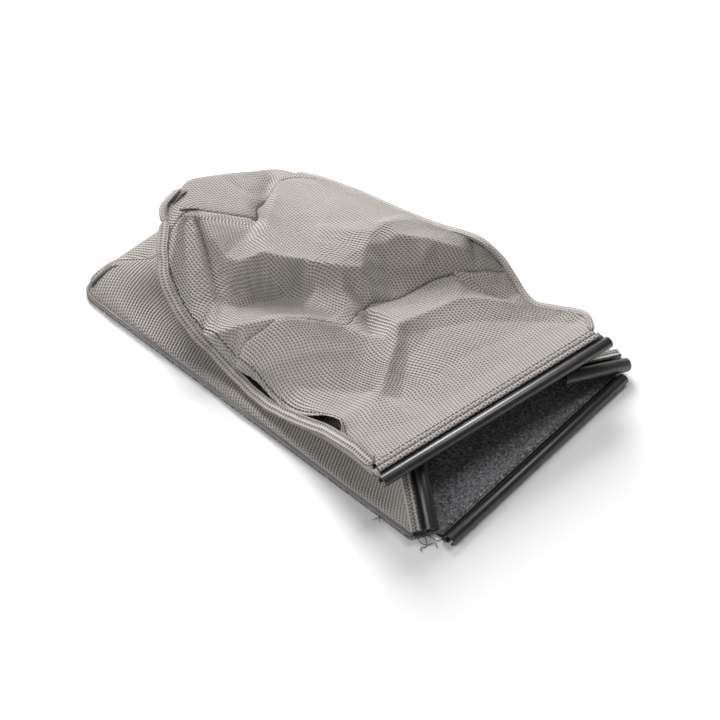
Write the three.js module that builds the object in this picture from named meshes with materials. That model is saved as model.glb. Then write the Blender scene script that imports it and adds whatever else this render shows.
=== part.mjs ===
// Grass collection bag of a walk-behind mower, lying collapsed on a flat floor.
// Millimetres, +Z up. X runs across the mouth and Y from the mouth to the rear end.
// The origin is the middle of the flat underside of the felt bottom panel.
import * as THREE from 'three';

// Driving sizes of the bag
const bagWidth = 340;          // mouth, along the bottom clip
const bagLength = 600;         // mouth to rear edge, along the left side
const bagHeight = 100;         // highest fold above the floor
const rearSetIn = 40;          // how far the right rear corner lies inside the mouth's width
const rearShort = 50;          // how much shorter the right side lies than the left
const frontFlare = 25;         // how far the bottom spreads past the clip at the left front corner
const frontFlareRight = 8;
const rearFlare = 21;          // how far the left rear corner spreads past the mouth's width
const cornerRadius = 34;

// Sheets
const meshThickness = 1.4;
const hemThickness = 2.6;
const hemWidth = 13;
const feltThickness = 3;
const clearance = 0.3;         // between pieces that are sewn or lie together
const seamAllowance = 0.9;     // from a seam's face to the middle of a panel's edge
const seamGap = 0.5;           // each panel stops this far from the line of a cross seam
const hemGap = 2.5;            // a side panel starts this far behind its clip's flange
const pipingGap = 2.7;         // from the corner piping to the middle of a panel's edge

// Seams that stand proud of the panels
const ridgeWidth = 8;
const ridgeHeight = 4;
const ridgeEnd = 0.8;          // share of its last step that a ridge runs
const bindingWidth = 9;
const bindingHeight = 3.5;
const pipingDiameter = 3.4;

// Plastic edge clips: a slotted tube that snaps over the frame wire, with a sewing flange
const clipDiameter = 14;
const sideClipDiameter = 17;
const clipWall = 1.6;
const topClipSlot = 7;
const bottomClipSlot = 5.5;
const sideClipSlot = 9;
const flangeWidth = 12;
const flangeThickness = 1.6;
const flangeOverlap = 8;       // cloth that lies on the flange
const bottomFlangeHeight = 1.9; // middle of the bottom clip's flange above the floor
const bottomClipShort = 17;    // the bottom clip ends this much before the right corner

// Where the clips lie
const topClipCentre = new THREE.Vector3(-25, 51, 64);
const topClipSkew = THREE.MathUtils.degToRad(-9.8);
const leftClipFoot = new THREE.Vector3(-6, 20, 14);      // from the left end of the mouth
const leftClipRun = new THREE.Vector3(62, 82, 38);
const rightClipFoot = new THREE.Vector3(0, 9, 11);       // from the right end of the mouth
const rightClipRun = new THREE.Vector3(-96, 27, 34);
const leftFlangeSide = new THREE.Vector3(-0.75, 0.62, 0);
const rightFlangeSide = new THREE.Vector3(0.25, 0.95, 0.15);
const hemInsetLeft = 6;        // the hem stops this far inside the top clip's ends
const hemInsetRight = 4;
const bottomSetBack = 5.7;     // the bottom's straight sides start this far behind the left clip's foot

// Side walls between the bottom binding and the top seams
const leftTuck = 20;           // how far the left wall folds in under the sunken seam
const tuckCentre = 0.5;        // where along the bag the tuck is deepest
const tuckReach = 0.3;
const wallBulge = 6;
const leftWallLift = 8;        // how far the tuck's fold rises between its ends
const gussetDrop = 24;         // the cloth hangs this far under the hem's ends before it folds in to the clip
const gussetInset = 5;
const rearBulge = 5;
const wallCrease = 9;          // groove along the middle of the right wall

// Fold lines of the cloth. Each point is a share in percent:
// across from the middle to the side, along from the mouth, and up from the floor.
const leftSeamFolds = [
  [-104, 23.5, 62], [-100, 31, 46], [-101, 38.5, 32], [-102, 47.5, 22], [-98, 56, 23], [-97, 63, 36],
  [-98, 68.5, 52], [-94, 74, 66], [-85, 79.5, 80], [-71, 84, 90], [-52, 89, 98],
];
const rightSeamFolds = [
  [97, 12.5, 57], [92, 17.5, 52], [84, 22, 52], [84, 24.5, 55], [89, 29, 64], [92, 33, 75], [90, 38, 89],
  [88, 42.5, 87], [86, 48, 79], [84, 58.5, 68], [84, 70, 56], [83, 75.5, 50], [80, 81, 46], [75, 86, 42],
];
const rearEdgeFolds = [
  [-52, 89, 98], [-39, 91, 100], [-23, 93, 98], [-9, 94.5, 94], [17, 93, 80], [41, 91, 65], [64, 89, 50],
  [75, 86, 42],
];
const folds = {
  crest: [[-48, 71, 87], [-36, 69, 91], [-27, 67.5, 94], [-21, 64, 92],
    [-7, 58.5, 88], [6, 53.5, 84], [14, 51.5, 81]],
  gutter: [[-67, 68.5, 50], [-58, 66, 45], [-44, 64.5, 45], [-30, 61, 46], [-18, 56.5, 48], [-8, 52, 52]],
  lip: [[-17, 55.5, 68], [-10, 54, 69], [-7, 51.5, 67], [-9, 48.5, 63], [-17, 45, 58]],
  lipFoot: [[6, 51, 72], [3, 50.5, 64], [-2, 48, 55]],
  shelf: [[-97, 64.5, 50], [-76, 60.5, 61], [-62, 57.5, 64], [-45, 52.5, 66],
    [-34, 47.5, 66], [-26, 41.5, 63], [-17, 37, 62]],
  shelfFoot: [[-93, 53.5, 40], [-82, 43, 38], [-62, 34.5, 40], [-54, 31, 46]],
  leftApron: [[-91, 40, 36], [-91, 32.5, 44], [-95, 23.5, 58]],
  starArm: [[-4, 37, 67], [-18, 34, 64], [-36, 31.5, 60], [-57, 28.5, 55]],
  starFoot: [[-4, 34.5, 58], [-22, 30, 53], [-47, 25.5, 50]],
  cup: [[-1, 44.5, 57], [-1, 41, 61], [-4, 37, 67]],
  dimple: [[-3, 46, 50], [-8, 44.5, 44], [-18, 40.5, 50]],
  apron: [[-56, 18.5, 60], [-9, 17, 59], [37, 15.5, 59], [75, 12.5, 58]],
  apronValley: [[13, 32.5, 55], [39, 28.5, 51], [64, 21.5, 50], [87, 12.5, 53]],
  apronRidge: [[-4, 37, 67], [23, 35.5, 60], [50, 33.5, 57], [63, 29.5, 56], [76, 23, 54]],
  rightPit: [[67, 34, 49], [71, 31, 47], [75, 28, 48]],
  seamGroove: [[-2, 46.5, 53], [12, 44.5, 51], [24, 43.5, 50], [42, 42.5, 51],
    [61, 40, 53], [76, 37, 56], [92, 31, 64]],
  cleftLeft: [[59, 56.5, 85], [47, 57, 84], [28, 54.5, 83], [17, 51.5, 78], [7, 47, 61]],
  cleft: [[46, 54.5, 74], [33, 50.5, 68], [23, 46.5, 57]],
  cleftTop: [[59, 56.5, 85], [56, 52.5, 83], [68, 47, 81]],
  cleftRight: [[68, 47, 81], [56, 45, 76], [42, 42.5, 56]],
  middleRidge: [[68, 47, 81], [75, 42.5, 80], [80, 39.5, 78]],
  notch: [[86, 39, 78], [81, 37, 66]],
  plateauRidge: [[76, 80, 50], [33, 70, 76], [-11, 62, 89]],
  plateauFold: [[68, 69, 62], [63, 64, 67], [57, 58.5, 74]],
  tuck: [[45, 86, 58], [21, 81.5, 66], [-9, 76, 80]],
  tuckLeft: [[20, 86.5, 74], [2, 80, 80]],
  tuckRight: [[52, 85, 62], [27, 79.5, 78], [-7, 73, 89]],
  pleatOne: [[-42, 87.5, 99], [-75, 80.5, 86], [-90, 75.5, 68]],
  pleatValley: [[-43, 86, 93], [-65, 79.5, 77], [-85, 72, 57]],
  pleatTwo: [[-37, 85.5, 99], [-48, 81, 88], [-60, 75.5, 74], [-71, 70, 55]],
  pleatFoot: [[-36, 84, 90], [-46, 79, 76], [-57, 74.5, 62], [-66, 69.5, 50]],
  dropEdge: [[-33, 84.5, 96], [-41, 78.5, 93], [-48, 71, 87]],
};

// Seams across the top, seen in plan: across and along in percent
const frontCrossSeam = [
  [-97, 57], [-83, 57.5], [-68, 56.5], [-54, 55.5], [-41, 50.5], [-27, 45], [-4, 46.5], [8, 46],
  [25, 43.5], [41, 42.5], [57, 40.5], [68, 38], [83, 33.5], [92, 31],
];
const rearCrossSeam = [
  [-66, 85.5], [-38, 87], [-28, 85.5], [-20, 83.5], [-7, 80], [3, 78.5], [16, 81.5], [32, 83], [64, 84], [80, 81],
];

// Corner seams from the floor up to the rear ends of the top seams, in percent
const leftCornerSeam = [[-99, 97.8, 18], [-83, 97, 27], [-74, 93.8, 32], [-64, 89.8, 38], [-56, 88.8, 60]];
const rightCornerSeam = [[78, 90, 18], [76, 88, 30]];

// Which way each panel's edge lies from the corner piping, in plan
const rearFromLeftCorner = [0.7, 0.8];
const rearFromRightCorner = [-0.9, 0.4];
const wallFromLeftCorner = [-0.85, -0.7];
const wallFromRightCorner = [0.6, -0.8];

// Where a side panel's front edge meets its clip, in shares of the clip's length from the floor up
const leftMouthShares = [0.03, 0.5, 0.96];
const rightMouthShares = [0.97, 0.5, 0.04];

// Grid steps
const foldStep = 22;           // spacing of the points that hold the cloth along a fold
const smoothing = 1;           // passes that soften the creases
const acrossSteps = 30;
const frontSteps = 15;
const middleSteps = 18;
const rearTopSteps = 4;
const rearWallSteps = 7;
const wallSteps = 34;
const wallRiseSteps = 8;
const seamSteps = 48;
const arcSteps = 10;
const cornerSteps = 6;

const halfWidth = bagWidth / 2;
const up = new THREE.Vector3(0, 0, 1);
const bag = new THREE.Group();
bag.position.set(0, -bagLength / 2, 0);

const mesh = new THREE.MeshStandardMaterial({ color: 0xa7a49b, roughness: 0.85, metalness: 0 });
const felt = new THREE.MeshStandardMaterial({ color: 0x2b2a2c, roughness: 0.95, metalness: 0 });
const tape = new THREE.MeshStandardMaterial({ color: 0x8d8a81, roughness: 0.85, metalness: 0 });
const cord = new THREE.MeshStandardMaterial({ color: 0x343335, roughness: 0.8, metalness: 0 });
const plastic = new THREE.MeshStandardMaterial({ color: 0x161517, roughness: 0.3, metalness: 0 });

function add(name, geometry, material) {
  const piece = new THREE.Mesh(geometry, material.clone());
  piece.name = name;
  bag.add(piece);
  return piece;
}

// A share of the bag's sizes as a place
function place([across, along, rise = 0]) {
  return new THREE.Vector3(across * halfWidth / 100, along * bagLength / 100, rise * bagHeight / 100);
}

function lerp(a, b, t) {
  return a.clone().lerp(b, t);
}

// A smooth curve through places, sampled at equal lengths
function sampled(points, steps) {
  return new THREE.CatmullRomCurve3(points, false, 'centripetal').getSpacedPoints(steps);
}

// Edge clips

function clipShape(diameter, slot, flangeDrop) {
  const outer = diameter / 2;
  const inner = outer - clipWall;
  const slotHalf = Math.asin(slot / 2 / outer);
  const slotStart = -Math.PI / 2 + slotHalf;
  const slotEnd = 3 * Math.PI / 2 - slotHalf;
  const top = flangeThickness / 2 - flangeDrop;
  const bottom = -flangeThickness / 2 - flangeDrop;
  const shape = new THREE.Shape();
  shape.absarc(0, 0, outer, slotStart, Math.asin(bottom / outer), false);
  shape.lineTo(outer + flangeWidth, bottom);
  shape.lineTo(outer + flangeWidth, top);
  shape.absarc(0, 0, outer, Math.asin(top / outer), slotEnd, false);
  shape.absarc(0, 0, inner, slotEnd, slotStart, true);
  return shape;
}

// The frame of a clip: its start, its run, the side of its flange and the way up from the flange
function clipFrame(start, end, flangeSide, diameter, flangeDrop = 0) {
  const along = end.clone().sub(start).normalize();
  const side = flangeSide.clone().projectOnPlane(along).normalize();
  const lift = along.clone().cross(side);
  return { start, along, side, lift, length: start.distanceTo(end), diameter, flangeDrop };
}

function addClip(name, frame, slot) {
  const shape = clipShape(frame.diameter, slot, frame.flangeDrop);
  const geometry = new THREE.ExtrudeGeometry(shape, {
    depth: frame.length, bevelEnabled: false, curveSegments: arcSteps,
  });
  const clip = add(name, geometry, plastic);
  clip.position.copy(frame.start);
  const turn = new THREE.Matrix4().makeBasis(frame.side, frame.lift, frame.along);
  clip.quaternion.setFromRotationMatrix(turn);
}

// A place on the cloth that lies on a clip's flange
function onFlange(frame, share, reach, thickness) {
  const rise = flangeThickness / 2 - frame.flangeDrop + clearance + thickness / 2;
  return frame.start.clone()
    .addScaledVector(frame.along, share * frame.length)
    .addScaledVector(frame.side, frame.diameter / 2 + flangeWidth - flangeOverlap + reach)
    .addScaledVector(frame.lift, rise);
}

const topRun = new THREE.Vector3(Math.cos(topClipSkew), Math.sin(topClipSkew), 0).multiplyScalar(halfWidth);
const topClip = clipFrame(
  topClipCentre.clone().sub(topRun), topClipCentre.clone().add(topRun), new THREE.Vector3(0, 1, 0), clipDiameter,
);
const bottomClip = clipFrame(
  new THREE.Vector3(-halfWidth, 0, clipDiameter / 2),
  new THREE.Vector3(halfWidth - bottomClipShort, 0, clipDiameter / 2),
  new THREE.Vector3(0, 1, 0), clipDiameter, clipDiameter / 2 - bottomFlangeHeight,
);
const leftFoot = leftClipFoot.clone().add(new THREE.Vector3(-halfWidth, 0, 0));
const leftClip = clipFrame(
  leftFoot, leftFoot.clone().add(leftClipRun), leftFlangeSide, sideClipDiameter,
);
const rightFoot = rightClipFoot.clone().add(new THREE.Vector3(halfWidth, 0, 0));
const rightClip = clipFrame(
  rightFoot.clone().add(rightClipRun), rightFoot, rightFlangeSide, sideClipDiameter,
);

// Outline of the bottom on the floor, from the left front round the rear to the right front

const floorPath = new THREE.Path();
const frontY = leftClipFoot.y + bindingWidth + bottomSetBack;
const rearLeft = new THREE.Vector2(-halfWidth - rearFlare, bagLength);
const rearRight = new THREE.Vector2(halfWidth - rearSetIn, bagLength - rearShort);
const leftFront = new THREE.Vector2(-halfWidth - frontFlare, frontY);
const rightFront = new THREE.Vector2(halfWidth + frontFlareRight, frontY);

function towards(from, to, distance) {
  return from.clone().add(to.clone().sub(from).setLength(distance));
}

function roundCorner(path, before, corner, after) {
  const start = towards(corner, before, cornerRadius);
  const end = towards(corner, after, cornerRadius);
  path.lineTo(start.x, start.y);
  path.quadraticCurveTo(corner.x, corner.y, end.x, end.y);
}

floorPath.moveTo(leftFront.x, leftFront.y);
roundCorner(floorPath, leftFront, rearLeft, rearRight);
roundCorner(floorPath, rearLeft, rearRight, rightFront);
floorPath.lineTo(rightFront.x, rightFront.y);
const floorLengths = floorPath.getCurveLengths();
const floorLength = floorLengths[floorLengths.length - 1];
const leftCornerShare = (floorLengths[0] + floorLengths[1]) / 2 / floorLength;
const rightCornerShare = (floorLengths[2] + floorLengths[3]) / 2 / floorLength;

// A place beside the outline, set in from it at a height
function floorPlace(share, setIn, height) {
  const point = floorPath.getPointAt(share);
  const run = floorPath.getTangentAt(share);
  return new THREE.Vector3(point.x + run.y * setIn, point.y - run.x * setIn, height);
}

const bindingTop = feltThickness + clearance + bindingHeight;
const wallFoot = bindingTop + seamAllowance;

function floorStretch(from, to, steps) {
  return Array.from({ length: steps + 1 }, (_, i) => (
    floorPlace(from + (to - from) * i / steps, bindingWidth / 2, wallFoot)
  ));
}

// Cloth: a stretched surface that passes through every fold line

const hemShares = [0, 0.14, 0.29, 0.43, 0.57, 0.71, 0.86, 1];

function hemPlace(across, reach) {
  const left = hemInsetLeft / topClip.length;
  const right = 1 - hemInsetRight / topClip.length;
  return onFlange(topClip, left + (right - left) * across, reach, hemThickness);
}

const hemHeight = hemPlace(0, 0).z;
const leftSeamCurve = [hemPlace(0, hemWidth), ...leftSeamFolds.map(place)];
const rightSeamCurve = [hemPlace(1, hemWidth), ...rightSeamFolds.map(place)];

function spaced(points) {
  const out = [points[0]];
  for (let i = 1; i < points.length; i += 1) {
    const parts = Math.max(1, Math.round(points[i].distanceTo(points[i - 1]) / foldStep));
    for (let k = 1; k <= parts; k += 1) {
      out.push(lerp(points[i - 1], points[i], k / parts));
    }
  }
  return out;
}

function holdingPoints() {
  const lines = [
    hemShares.map((share) => hemPlace(share, 0)),
    hemShares.map((share) => hemPlace(share, hemWidth)),
    leftSeamCurve, rightSeamCurve, rearEdgeFolds.map(place),
    ...Object.values(folds).map((line) => line.map(place)),
  ];
  const kept = [];
  for (const point of lines.flatMap(spaced)) {
    const near = kept.some((other) => Math.hypot(other.x - point.x, other.y - point.y) < foldStep / 5);
    if (!near) {
      kept.push(point);
    }
  }
  return kept;
}

// Gaussian elimination with row swaps
function solve(rows, values) {
  const n = values.length;
  for (let k = 0; k < n; k += 1) {
    let best = k;
    for (let i = k + 1; i < n; i += 1) {
      if (Math.abs(rows[i][k]) > Math.abs(rows[best][k])) {
        best = i;
      }
    }
    [rows[k], rows[best]] = [rows[best], rows[k]];
    [values[k], values[best]] = [values[best], values[k]];
    for (let i = k + 1; i < n; i += 1) {
      const share = rows[i][k] / rows[k][k];
      if (share !== 0) {
        for (let j = k; j < n; j += 1) {
          rows[i][j] -= share * rows[k][j];
        }
        values[i] -= share * values[k];
      }
    }
  }
  for (let k = n - 1; k >= 0; k -= 1) {
    for (let j = k + 1; j < n; j += 1) {
      values[k] -= rows[k][j] * values[j];
    }
    values[k] /= rows[k][k];
  }
  return values;
}

// Height of the cloth at a place in plan: a sum of cones on the holding points and a tilted plane
function clothHeight() {
  const points = holdingPoints();
  const plane = (p) => [1, p.x / bagLength, p.y / bagLength];
  const rows = points.map((p) => [...points.map((q) => Math.hypot(p.x - q.x, p.y - q.y)), ...plane(p)]);
  for (let k = 0; k < 3; k += 1) {
    rows.push([...points.map((p) => plane(p)[k]), 0, 0, 0]);
  }
  const weights = solve(rows, [...points.map((p) => p.z), 0, 0, 0]);
  return (p) => {
    const tilt = plane(p);
    let height = tilt.reduce((sum, value, k) => sum + value * weights[points.length + k], 0);
    for (let i = 0; i < points.length; i += 1) {
      height += weights[i] * Math.hypot(p.x - points[i].x, p.y - points[i].y);
    }
    return height;
  };
}

const heightAt = clothHeight();

// Shells

// A closed sheet of a given thickness round a grid of places
function sheet(grid, thicknessAt) {
  const rows = grid.length;
  const columns = grid[0].length;
  const vertices = [];
  for (const side of [0.5, -0.5]) {
    for (let i = 0; i < rows; i += 1) {
      for (let j = 0; j < columns; j += 1) {
        const run = grid[i][Math.min(j + 1, columns - 1)].clone().sub(grid[i][Math.max(j - 1, 0)]);
        const rise = grid[Math.min(i + 1, rows - 1)][j].clone().sub(grid[Math.max(i - 1, 0)][j]);
        const out = run.cross(rise).normalize();
        const place3 = grid[i][j].clone().addScaledVector(out, side * thicknessAt(i, j));
        vertices.push(place3.x, place3.y, place3.z);
      }
    }
  }
  const faces = [];
  const top = (i, j) => i * columns + j;
  const under = (i, j) => rows * columns + i * columns + j;
  const quad = (a, b, c, d) => faces.push(a, b, c, a, c, d);
  for (let i = 0; i < rows - 1; i += 1) {
    for (let j = 0; j < columns - 1; j += 1) {
      quad(top(i, j), top(i, j + 1), top(i + 1, j + 1), top(i + 1, j));
      quad(under(i, j), under(i + 1, j), under(i + 1, j + 1), under(i, j + 1));
    }
  }
  const rim = [];
  for (let j = 0; j < columns - 1; j += 1) {
    rim.push([0, j]);
  }
  for (let i = 0; i < rows - 1; i += 1) {
    rim.push([i, columns - 1]);
  }
  for (let j = columns - 1; j > 0; j -= 1) {
    rim.push([rows - 1, j]);
  }
  for (let i = rows - 1; i > 0; i -= 1) {
    rim.push([i, 0]);
  }
  rim.forEach((from, k) => {
    const to = rim[(k + 1) % rim.length];
    quad(top(...to), top(...from), under(...from), under(...to));
  });
  return indexed(vertices, faces);
}

function indexed(vertices, faces) {
  const geometry = new THREE.BufferGeometry();
  geometry.setAttribute('position', new THREE.Float32BufferAttribute(vertices, 3));
  geometry.setIndex(faces);
  geometry.computeVertexNormals();
  return geometry;
}

// A solid swept along places: a convex section in the plane of two directions at each place
function swept(stations, section) {
  const vertices = [];
  const faces = [];
  const n = section.length;
  stations.forEach(({ place: centre, across, rise }) => {
    section.forEach(([x, y]) => {
      const corner = centre.clone().addScaledVector(across, x).addScaledVector(rise, y);
      vertices.push(corner.x, corner.y, corner.z);
    });
  });
  const last = (stations.length - 1) * n;
  for (let k = 0; k < stations.length - 1; k += 1) {
    for (let s = 0; s < n; s += 1) {
      const a = k * n + s;
      const b = k * n + (s + 1) % n;
      faces.push(a, b, b + n, a, b + n, a + n);
    }
  }
  for (let s = 1; s < n - 1; s += 1) {
    faces.push(0, s + 1, s, last, last + s, last + s + 1);
  }
  return indexed(vertices, faces);
}

// Stations along a curve, with the section upright about a given direction
function stations(points, upright) {
  return points.map((centre, i) => {
    const run = points[Math.min(i + 1, points.length - 1)].clone().sub(points[Math.max(i - 1, 0)]).normalize();
    const rise = upright.clone().projectOnPlane(run).normalize();
    return { place: centre, across: rise.clone().cross(run), rise };
  });
}

// A strip's section with its outer corners taken off
function stripSection(width, height) {
  const x = width / 2;
  const y = height / 2;
  const cut = height / 4;
  return [[-x, -y], [x, -y], [x, y - cut], [x - cut, y], [-x + cut, y], [-x, y - cut]];
}

function roundSection(diameter, sides) {
  return Array.from({ length: sides }, (_, k) => {
    const angle = 2 * Math.PI * k / sides;
    return [Math.cos(angle) * diameter / 2, Math.sin(angle) * diameter / 2];
  });
}

// A patch that fills four edges: near and far run across, left and right run from near to far
function patch(near, far, left, right) {
  const rows = left.length;
  const columns = near.length;
  return left.map((leftPoint, i) => near.map((nearPoint, j) => {
    const s = i / (rows - 1);
    const u = j / (columns - 1);
    const rails = lerp(leftPoint, right[i], u);
    const ends = lerp(nearPoint, far[j], s);
    const corners = lerp(lerp(near[0], near[columns - 1], u), lerp(far[0], far[columns - 1], u), s);
    return rails.add(ends).sub(corners);
  }));
}

// Top panels: laid out in plan between the side seams, then lifted to the cloth's height

const ridgeReach = ridgeWidth / 2 + seamAllowance;

// A seam curve moved sideways in plan
function setIn(points, distance) {
  return points.map((point, i) => {
    const run = points[Math.min(i + 1, points.length - 1)].clone().sub(points[Math.max(i - 1, 0)]);
    const side = new THREE.Vector3(run.y, -run.x, 0).setLength(distance);
    return point.clone().add(side);
  });
}

const leftSeam = sampled(leftSeamCurve, seamSteps);
const rightSeam = sampled(rightSeamCurve, seamSteps);
const leftRail = setIn(leftSeam, ridgeReach);
const rightRail = setIn(rightSeam, -ridgeReach);

function nearestIndex(points, target) {
  let best = 0;
  points.forEach((point, i) => {
    if (point.distanceTo(target) < points[best].distanceTo(target)) {
      best = i;
    }
  });
  return best;
}

// Part of a rail, resampled
function railPart(rail, from, to, steps) {
  return sampled(rail.slice(from, to + 1), steps);
}

// Ends of a line across the top are tied to the rails
function tied(line, railLeft, railRight) {
  const inner = line.map(place).filter((point, i) => i > 0 && i < line.length - 1);
  return sampled([railLeft, ...inner, railRight], acrossSteps);
}

function flattened(points) {
  return points.map((point) => new THREE.Vector3(point.x, point.y, 0));
}

// Moves the ends of a grid's columns back from a seam
function trimmed(grid, first, last) {
  const rows = grid.length;
  grid[0].forEach((point, j) => {
    const inward = grid[1][j].clone().sub(point).setLength(first);
    point.add(inward);
  });
  grid[rows - 1].forEach((point, j) => {
    const inward = grid[rows - 2][j].clone().sub(point).setLength(last);
    point.add(inward);
  });
  return grid;
}

function lifted(plan, flatRows = 0) {
  let grid = plan.map((row, i) => row.map((point) => (
    new THREE.Vector3(point.x, point.y, i < flatRows ? hemHeight : heightAt(point))
  )));
  for (let pass = 0; pass < smoothing; pass += 1) {
    grid = grid.map((row, i) => row.map((point, j) => {
      const edge = i < flatRows || i === 0 || j === 0 || i === grid.length - 1 || j === row.length - 1;
      if (edge) {
        return point;
      }
      const around = (grid[i - 1][j].z + grid[i + 1][j].z + row[j - 1].z + row[j + 1].z) / 4;
      return new THREE.Vector3(point.x, point.y, (point.z * 2 + around) / 3);
    }));
  }
  return grid;
}

const crossing = {
  left: nearestIndex(flattened(leftSeam), place(frontCrossSeam[0])),
  right: nearestIndex(flattened(rightSeam), place(frontCrossSeam[frontCrossSeam.length - 1])),
};
const rearCrossing = {
  left: nearestIndex(flattened(leftSeam), place(rearCrossSeam[0])),
  right: nearestIndex(flattened(rightSeam), place(rearCrossSeam[rearCrossSeam.length - 1])),
};
const hemEdge = flattened(Array.from({ length: acrossSteps + 1 }, (_, j) => hemPlace(j / acrossSteps, 0)));
const hemStitch = hemEdge.map((_, j) => hemPlace(j / acrossSteps, hemWidth)).map((p) => p.setZ(0));
const flatLeft = flattened(leftRail);
const flatRight = flattened(rightRail);
const frontSeamLine = tied(frontCrossSeam, flatLeft[crossing.left], flatRight[crossing.right]);
const rearSeamLine = tied(rearCrossSeam, flatLeft[rearCrossing.left], flatRight[rearCrossing.right]);
const rearEdgeLine = tied(rearEdgeFolds.map(([x, y]) => [x, y]), flatLeft[seamSteps], flatRight[seamSteps]);

function topPlan(near, far, from, to, steps) {
  const left = railPart(flatLeft, from.left, to.left, steps);
  const right = railPart(flatRight, from.right, to.right, steps);
  return patch(near, far, left, right);
}

const hemStart = { left: 0, right: 0 };
hemStitch[0].copy(flatLeft[0]);
hemStitch[acrossSteps].copy(flatRight[0]);
const frontPlan = topPlan(hemStitch, frontSeamLine, hemStart, crossing, frontSteps);
const hemRows = 2;
const frontGrid = lifted(trimmed([hemEdge, ...frontPlan], 0, seamGap), hemRows);
add('top_front_panel', sheet(frontGrid, (i) => (i < hemRows ? hemThickness : meshThickness)), mesh);

const middlePlan = topPlan(frontSeamLine, rearSeamLine, crossing, rearCrossing, middleSteps);
add('top_rear_panel', sheet(lifted(trimmed(middlePlan, seamGap, seamGap)), () => meshThickness), mesh);

// Side seams: thick folded ridges between the top and the side walls

function addRidge(name, seam) {
  const line = seam.slice();
  line[seamSteps] = lerp(seam[seamSteps - 1], seam[seamSteps], ridgeEnd);
  add(name, swept(stations(line, up), stripSection(ridgeWidth, ridgeHeight)), tape);
}

addRidge('left_seam', leftSeam);
addRidge('right_seam', rightSeam);

// Corner seams with piping, from the floor to the rear ends of the side seams

const seamDrop = ridgeHeight / 2 + seamAllowance;
const pipingReach = pipingDiameter / 2 + pipingGap;

function cornerCurve(share, middle, seamEnd) {
  const foot = floorPlace(share, bindingWidth / 2, wallFoot + pipingDiameter / 2);
  const head = seamEnd.clone().addScaledVector(up, -seamDrop - pipingDiameter / 2);
  return sampled([foot, ...middle.map(place), head], wallRiseSteps * 2);
}

const leftCorner = cornerCurve(leftCornerShare, leftCornerSeam, leftSeam[seamSteps]);
const rightCorner = cornerCurve(rightCornerShare, rightCornerSeam, rightSeam[seamSteps]);
const backwards = new THREE.Vector3(0, 1, 0);
add('left_corner_piping', swept(stations(leftCorner, backwards), roundSection(pipingDiameter, 6)), cord);
add('right_corner_piping', swept(stations(rightCorner, backwards), roundSection(pipingDiameter, 6)), cord);

// Rear panel: from the rear cross seam over the rear edge and down to the floor

function shifted(points, [x, y]) {
  const move = new THREE.Vector3(x, y, 0).setLength(pipingReach);
  return points.map((point) => point.clone().add(move));
}

function bulged(grid, outward, amount) {
  return grid.map((row, i) => row.map((point, j) => {
    const s = i / (grid.length - 1);
    const u = j / (row.length - 1);
    return point.addScaledVector(outward, amount(u, s));
  }));
}

const rearTop = lifted(trimmed(
  topPlan(rearSeamLine, rearEdgeLine, rearCrossing, { left: seamSteps, right: seamSteps }, rearTopSteps),
  seamGap, 0,
));
const rearEdge = rearTop[rearTopSteps];
const rearFoot = floorStretch(leftCornerShare, rightCornerShare, acrossSteps);
const rearLeftSide = sampled(
  [rearEdge[0], ...shifted(leftCorner.slice().reverse(), rearFromLeftCorner)], rearWallSteps,
);
const rearRightSide = sampled(
  [rearEdge[acrossSteps], ...shifted(rightCorner.slice().reverse(), rearFromRightCorner)], rearWallSteps,
);
rearFoot[0] = rearLeftSide[rearWallSteps];
rearFoot[acrossSteps] = rearRightSide[rearWallSteps];
const rearWall = bulged(patch(rearEdge, rearFoot, rearLeftSide, rearRightSide), backwards, (u, s) => (
  rearBulge * Math.sin(Math.PI * s) * Math.sin(Math.PI * u)
));
add('rear_panel', sheet([...rearTop, ...rearWall.slice(1)], () => meshThickness), mesh);

// Side panels: from the bottom binding up to the side seams, hemmed on the side clips

function mouthEdge(frame, shares, foot, head) {
  const onClip = shares.map((share) => frame.start.clone()
    .addScaledVector(frame.along, share * frame.length)
    .addScaledVector(frame.side, frame.diameter / 2 + flangeWidth + hemGap));
  const inward = onClip[onClip.length - 1].clone().sub(head).setZ(0).setLength(gussetInset);
  const fold = head.clone().add(inward).addScaledVector(up, -gussetDrop);
  return sampled([foot, ...onClip, fold, head], wallRiseSteps);
}

function lowered(seam) {
  return sampled(seam, wallSteps).map((point) => point.addScaledVector(up, -seamDrop));
}

const leftFootLine = floorStretch(0, leftCornerShare, wallSteps);
const leftHeadLine = lowered(leftSeam);
const leftMouth = mouthEdge(leftClip, leftMouthShares, leftFootLine[0], leftHeadLine[0]);
const leftRear = sampled(shifted(leftCorner, wallFromLeftCorner), wallRiseSteps);
leftFootLine[wallSteps] = leftRear[0];
leftHeadLine[wallSteps] = leftRear[wallRiseSteps];

function tuckShare(u) {
  const distance = Math.abs(u - tuckCentre) / tuckReach;
  return distance < 1 ? Math.cos(distance * Math.PI / 2) ** 2 : 0;
}

const leftwards = new THREE.Vector3(-1, 0, 0);
const leftLift = bulged(patch(leftFootLine, leftHeadLine, leftMouth, leftRear), up, (u, s) => (
  leftWallLift * Math.sin(Math.PI * s) * Math.sin(Math.PI * u)
));
const leftWall = bulged(leftLift, leftwards, (u, s) => (
  Math.sin(Math.PI * s) * Math.sin(Math.PI * u) * (wallBulge - (leftTuck + wallBulge) * tuckShare(u))
));
add('left_side_panel', sheet(leftWall.map((row) => row.slice().reverse()), () => meshThickness), mesh);

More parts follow.
